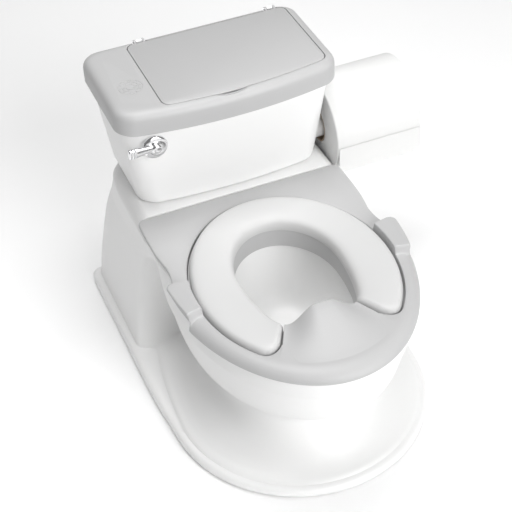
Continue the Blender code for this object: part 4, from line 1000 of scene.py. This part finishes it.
def buildFlap():
    top, low = lid["top"], lid["top"] - flap["thick"]
    rings = [(low, 0.0004), (low + 0.0003, 0.0), (top - 0.0008, 0.0), (top - 0.0003, 0.0002),
             (top, 0.0007)]
    panel = skinOver("flapPanel", [levelRing(flapOutline(inset), z) for z, inset in rings],
                     "grey_plastic")
    pieces = [panel]
    hingeY, hingeZ = flap["hingeY"], flap["hingeZ"]
    for number, x in enumerate(flap["hingeX"], 1):
        for side in (-1, 1):
            start = x + side * 0.0047 - 0.0011
            pieces.append(easedBlock("arm", (start, flap["rear"] - 0.004, low + 0.0001),
                                     (start + 0.0022, hingeY, low + 0.0016), bend=0.0003))
            pieces.append(turnedPiece("eye", [(0.0012, 0.0), (0.0020, 0.0), (0.0020, 0.0022),
                                              (0.0012, 0.0022)], (start, hingeY, hingeZ), "X",
                                      steps=32, bend=0.0002))
        pin = turnedPiece(f"hingePin{number}", [(0.0, -0.0066), (0.0011, -0.0066), (0.0011, 0.0066),
                                                (0.0, 0.0066)], (x, hingeY, hingeZ), "X", "steel", 24)
        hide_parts(f"hinge_pin_{number}")
        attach(pin, "flap")
        barrel = turnedPiece(f"hingeKnuckle{number}", [(0.0012, -0.0032), (0.0022, -0.0032),
                                                       (0.0022, 0.0032), (0.0012, 0.0032)],
                             (x, hingeY, hingeZ), "X", "white_plastic", 48, bend=0.0006)
        stem = easedBlock("stem", (x - 0.0028, hingeY - 0.0010, 0.2985),
                          (x + 0.0028, hingeY + 0.0020, hingeZ - 0.0010), bend=0.0004)
        knuckle = weld(f"hingeKnuckle{number}", [barrel, stem])
        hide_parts(f"hinge_knuckle_{number}")
        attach(knuckle, "chair")
    cover = weld("flapPanel", pieces)
    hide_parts("wipes_flap")
    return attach(cover, "flap")


buildLid()
buildFlap()
print("lid and flap built")


# chrome flush lever on its round plate
lever = {"pivot": (-0.0852, 0.0678, 0.2625), "centerY": 0.0604,
         # forward and down for each metre along the arm, and the arm's height over the pivot
         "lean": 0.03, "drop": 0.01, "lift": 0.0028,
         # reach from the pivot, half height, half thickness
         "arm": [(0.0020, 0.0034, 0.0020), (0.0050, 0.0035, 0.0020), (0.0090, 0.0039, 0.0021),
                 (0.0140, 0.0046, 0.0023), (0.0190, 0.0053, 0.0026), (0.0222, 0.0055, 0.0027),
                 (0.0228, 0.0047, 0.0022), (0.0234, 0.0047, 0.0022), (0.0240, 0.0057, 0.0029),
                 (0.0254, 0.0058, 0.0029), (0.0260, 0.0049, 0.0023), (0.0266, 0.0049, 0.0023),
                 (0.0272, 0.0057, 0.0029), (0.0288, 0.0054, 0.0026), (0.0296, 0.0036, 0.0018),
                 (0.0298, 0.0005, 0.0003)]}


def buildLever():
    x, y, z = lever["pivot"]
    dish = turnedPiece("leverPlate", [(0.0034, 0.0010), (0.0125, 0.0010), (0.0131, -0.0012),
                                      (0.0133, -0.0030), (0.0127, -0.0042), (0.0110, -0.0051),
                                      (0.0085, -0.0057), (0.0066, -0.0059), (0.0056, -0.0053),
                                      (0.0034, -0.0053)],
                       (x, y, z), "Y", "chrome", 96, bend=0.0011)
    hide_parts("flush_escutcheon")
    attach(dish, "chair")
    rings = []
    for reach, tall, thick in throughRows(lever["arm"], 3):
        ring = []
        for i in range(40):
            angle = 2 * math.pi * i / 40
            c, s = math.cos(angle), math.sin(angle)
            c, s = math.copysign(abs(c) ** 0.8, c), math.copysign(abs(s) ** 0.8, s)
            ring.append((x - reach, lever["centerY"] + thick * c - lever["lean"] * reach,
                         z + lever["lift"] + tall * s - lever["drop"] * reach))
        rings.append(ring)
    arm = skinOver("leverArm", rings, "chrome", sharpAngle=55.0)
    hub = turnedPiece("hub", [(0.0, 0.0026), (0.0060, 0.0026), (0.0064, 0.0012), (0.0064, -0.0006),
                              (0.0058, -0.0012), (0.0056, -0.0020), (0.0048, -0.0033),
                              (0.0030, -0.0040), (0.0, -0.0042)],
                      (x, lever["centerY"], z + lever["lift"] / 2), "Y", steps=80, bend=0.0009)
    handle = weld("leverArm", [arm, hub])
    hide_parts("flush_lever")
    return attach(handle, "lever")


buildLever()


# paper roll, its loose end, and the holder
roll = {"x": (0.1155, 0.2150), "y": 0.1182, "z": 0.1943, "radius": 0.0545, "core": (0.0195, 0.0206),
        "flute": 0.00025,
        # the loose end: lower edge, gap at each side, thickness, ripple, rows and columns
        "tailEnd": 0.1640, "tailInset": (0.0016, 0.0003), "tailThick": 0.00035, "tailRipple": 0.0003,
        "tailRows": 24, "tailColumns": 40}


def buildRoll():
    start, end = roll["x"]
    place = (0.0, roll["y"], roll["z"])
    radius, (coreIn, coreOut) = roll["radius"], roll["core"]
    steps, rings = 180, []
    profile = easedLine([(coreOut + 0.0002, end, 0.001), (coreOut + 0.006, end + 0.0003, 0.004),
                         (0.040, end - 0.0002, 0.008), (radius, end, 0.0022),
                         (radius - 0.0002, (start + end) / 2, 0.02), (radius, start, 0.0022),
                         (0.040, start + 0.0002, 0.008), (coreOut + 0.006, start - 0.0001, 0.004),
                         (coreOut + 0.0002, start, 0.001)], 5, closed=True)
    for reach, x in profile:
        ring = []
        for i in range(steps):
            angle = 2 * math.pi * i / steps
            sag = roll["flute"] * math.sin(3 * angle + 0.7) * (reach - coreOut) / (radius - coreOut)
            ring.append((x, place[1] + (reach - abs(sag)) * math.cos(angle),
                         place[2] + (reach - abs(sag)) * math.sin(angle)))
        rings.append(ring)
    paper = skinOver("paperRoll", rings, "paper", joinEnds=True, sharpAngle=60)
    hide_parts("paper_roll")
    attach(paper, "roll")

    # the loose end leaves the roll in front and hangs with a slight curl
    long, across, down = roll["z"] - roll["tailEnd"], roll["tailColumns"], roll["tailRows"]
    first, last = start + roll["tailInset"][0], end - roll["tailInset"][1]
    sheet = []
    for row in range(down + 1):
        share = row / down
        front, back = [], []
        for column in range(across + 1):
            x = first + (last - first) * column / across
            ripple = roll["tailRipple"] * math.sin(9 * column / across + 4 * share) * share
            y = roll["y"] - radius - 0.0004 - 0.0016 * share ** 2 + ripple
            z = roll["z"] - long * share
            front.append((x, y - roll["tailThick"], z))
            back.append((x, y, z))
        sheet.append(front + back[::-1])
    tail = skinOver("paperTail", sheet, "paper", sharpAngle=60)
    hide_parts("paper_tail")
    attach(tail, "roll")

    core = turnedPiece("rollCore", [(coreIn, end - 0.0002), (coreOut, end - 0.0002),
                                    (coreOut, start + 0.0002), (coreIn, start + 0.0002)],
                       place, "X", "cardboard", 96, bend=0.0002)
    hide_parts("roll_core")
    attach(core, "roll")
    capLow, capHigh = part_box("spindle_cap")
    capRadius = (capHigh.z - capLow.z) / 2
    cap = turnedPiece("holderCap", [(0.0, capHigh.x - 0.0006), (0.0110, capHigh.x - 0.0006),
                                    (0.0125, capHigh.x), (0.0168, capHigh.x - 0.0002),
                                    (capRadius, capHigh.x - 0.0012), (capRadius, 0.2163),
                                    (0.0122, 0.2163), (0.0120, capLow.x), (0.0, capLow.x)],
                      place, "X", "white_plastic", 96, bend=0.0006)
    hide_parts("spindle_cap")
    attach(cap, "chair")
    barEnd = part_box("roll_spindle")[1].x
    bar = turnedPiece("holderBar", [(0.0125, barEnd), (0.0145, barEnd), (0.0150, start),
                                    (0.0150, 0.1095), (0.0156, 0.1080), (0.0156, 0.1043),
                                    (0.0125, 0.1043)],
                      place, "X", "white_plastic", 96, bend=0.0005)
    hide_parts("roll_spindle")
    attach(bar, "chair")


buildRoll()
print("lever and roll built")


# underside: feet and plate screws; small nodes that stay get eased edges
def buildUnderside():
    for number in range(1, 6):
        low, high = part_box(f"foot_{number}")
        spot = ((low.x + high.x) / 2, (low.y + high.y) / 2, 0.0)
        foot = turnedPiece(f"rubberFoot{number}",
                           [(0.0, 0.0062), (0.0020, 0.0060), (0.0023, 0.0050), (0.0023, 0.0015),
                            (0.0085, 0.0015), (0.0092, 0.0008), (0.0088, 0.0), (0.0062, 0.0),
                            (0.0058, 0.0004), (0.0, 0.0004)], spot, "Z", "rubber", 64, bend=0.0003)
        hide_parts(f"foot_{number}")
        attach(foot, "chair")
    for number in range(1, 5):
        low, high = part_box(f"plate_screw_{number}")
        spot = ((low.x + high.x) / 2, (low.y + high.y) / 2, 0.0)
        shank = turnedPiece(f"plateScrew{number}",
                            [(0.0, 0.0130), (0.0014, 0.0120), (0.0015, 0.0016), (0.0032, 0.0016),
                             (0.0031, 0.0009), (0.0024, 0.0005), (0.0, 0.0005)], spot, "Z", "steel",
                            40, bend=0.0002)
        slots = []
        for wide, deep in ((0.0019, 0.0004), (0.0004, 0.0019)):
            slots.append(easedBlock("slot", (spot[0] - wide, spot[1] - deep, -0.001),
                                    (spot[0] + wide, spot[1] + deep, 0.0011), bend=0))
        carve(shank, slots)
        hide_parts(f"plate_screw_{number}")
        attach(shank, "chair")


buildUnderside()
for nodeName in ("wipes_bin", "sound_housing", "battery_box", "switch_body", "circuit_board"):
    ease = nodes[nodeName].modifiers.new("ease", "BEVEL")
    ease.width, ease.segments, ease.limit_method = 0.0004, 2, "ANGLE"
    ease.angle_limit = math.radians(50)


# floor, light and camera
studio = {"floorSize": 7.0, "floorColor": (0.93, 0.93, 0.93), "world": 0.21,
          # name: place, aim, size, power, spread
          "lights": {"keySoftbox": ((0.6, -2.2, 1.5), (0.0, 0.12, 0.30), 1.5, 5.6, 60.0),
                     "fillSoftbox": ((0.7, -2.4, 1.2), (0.0, 0.0, 0.12), 2.4, 20.0, 180.0),
                     "topSoftbox": ((0.0, 0.20, 2.35), (0.0, 0.0, 0.1), 1.5, 38.0, 180.0)}}
camera = {"azimuth": -20.8256, "elevation": 41.352, "roll": -2.9523, "lens": 94.11, "sensor": 36.0,
          "aim": (-0.0063, 0.0061, 0.1348), "distance": 1.3972}


def buildStudio():
    size = studio["floorSize"]
    floor = meshObject("studioFloor", [(-size, -size, 0), (size, -size, 0), (size, size, 0),
                                       (-size, size, 0)], [(0, 1, 2, 3)], None, 0)
    finish, tree, shader = newFinish("paleFloor")
    skin = useGroup(tree, mouldSkin, {"Grain Scale": 200.0, "Smoothest": 0.7, "Roughest": 0.85})
    color = studio["floorColor"]
    tree.links.new(mixColor(tree, shade(color, 0.995), shade(color, 1.005), skin.outputs["Tone"]),
                   shader.inputs["Base Color"])
    tree.links.new(skin.outputs["Roughness"], shader.inputs["Roughness"])
    shader.inputs["Emission Color"].default_value = (1, 1, 1, 1)
    shader.inputs["Emission Strength"].default_value = 0.06
    floor.data.materials.append(finish)
    world = bpy.data.worlds.new("softStudio")
    scene.world = world
    world.use_nodes = True
    world.node_tree.nodes["Background"].inputs["Color"].default_value = (1.0, 1.0, 1.0, 1.0)
    world.node_tree.nodes["Background"].inputs["Strength"].default_value = studio["world"]
    for name, (place, aim, side, power, spread) in studio["lights"].items():
        light = bpy.data.lights.new(name, "AREA")
        light.shape, light.size, light.energy = "SQUARE", side, power
        light.spread = math.radians(spread)
        lamp = bpy.data.objects.new(name, light)
        scene.collection.objects.link(lamp)
        lamp.location = place
        lamp.rotation_euler = (Vector(aim) - Vector(place)).to_track_quat("-Z", "Y").to_euler()


def buildCamera():
    azimuth, elevation = math.radians(camera["azimuth"]), math.radians(camera["elevation"])
    roll = math.radians(camera["roll"])
    back = Vector((math.sin(azimuth) * math.cos(elevation), -math.cos(azimuth) * math.cos(elevation),
                   math.sin(elevation)))
    right = Vector((math.cos(azimuth), math.sin(azimuth), 0.0))
    up = back.cross(right)
    right, up = (right * math.cos(roll) + up * math.sin(roll),
                 up * math.cos(roll) - right * math.sin(roll))
    lens = bpy.data.cameras.new("studioCamera")
    lens.lens, lens.sensor_width = camera["lens"], camera["sensor"]
    lens.clip_start, lens.clip_end = 0.05, 30.0
    view = bpy.data.objects.new("studioCamera", lens)
    scene.collection.objects.link(view)
    turn = Matrix((right, up, back)).transposed().to_4x4()
    view.matrix_world = Matrix.Translation(Vector(camera["aim"]) + back * camera["distance"]) @ turn
    scene.camera = view


buildStudio()
buildCamera()
scene.view_settings.view_transform = "Standard"
print("studio ready")
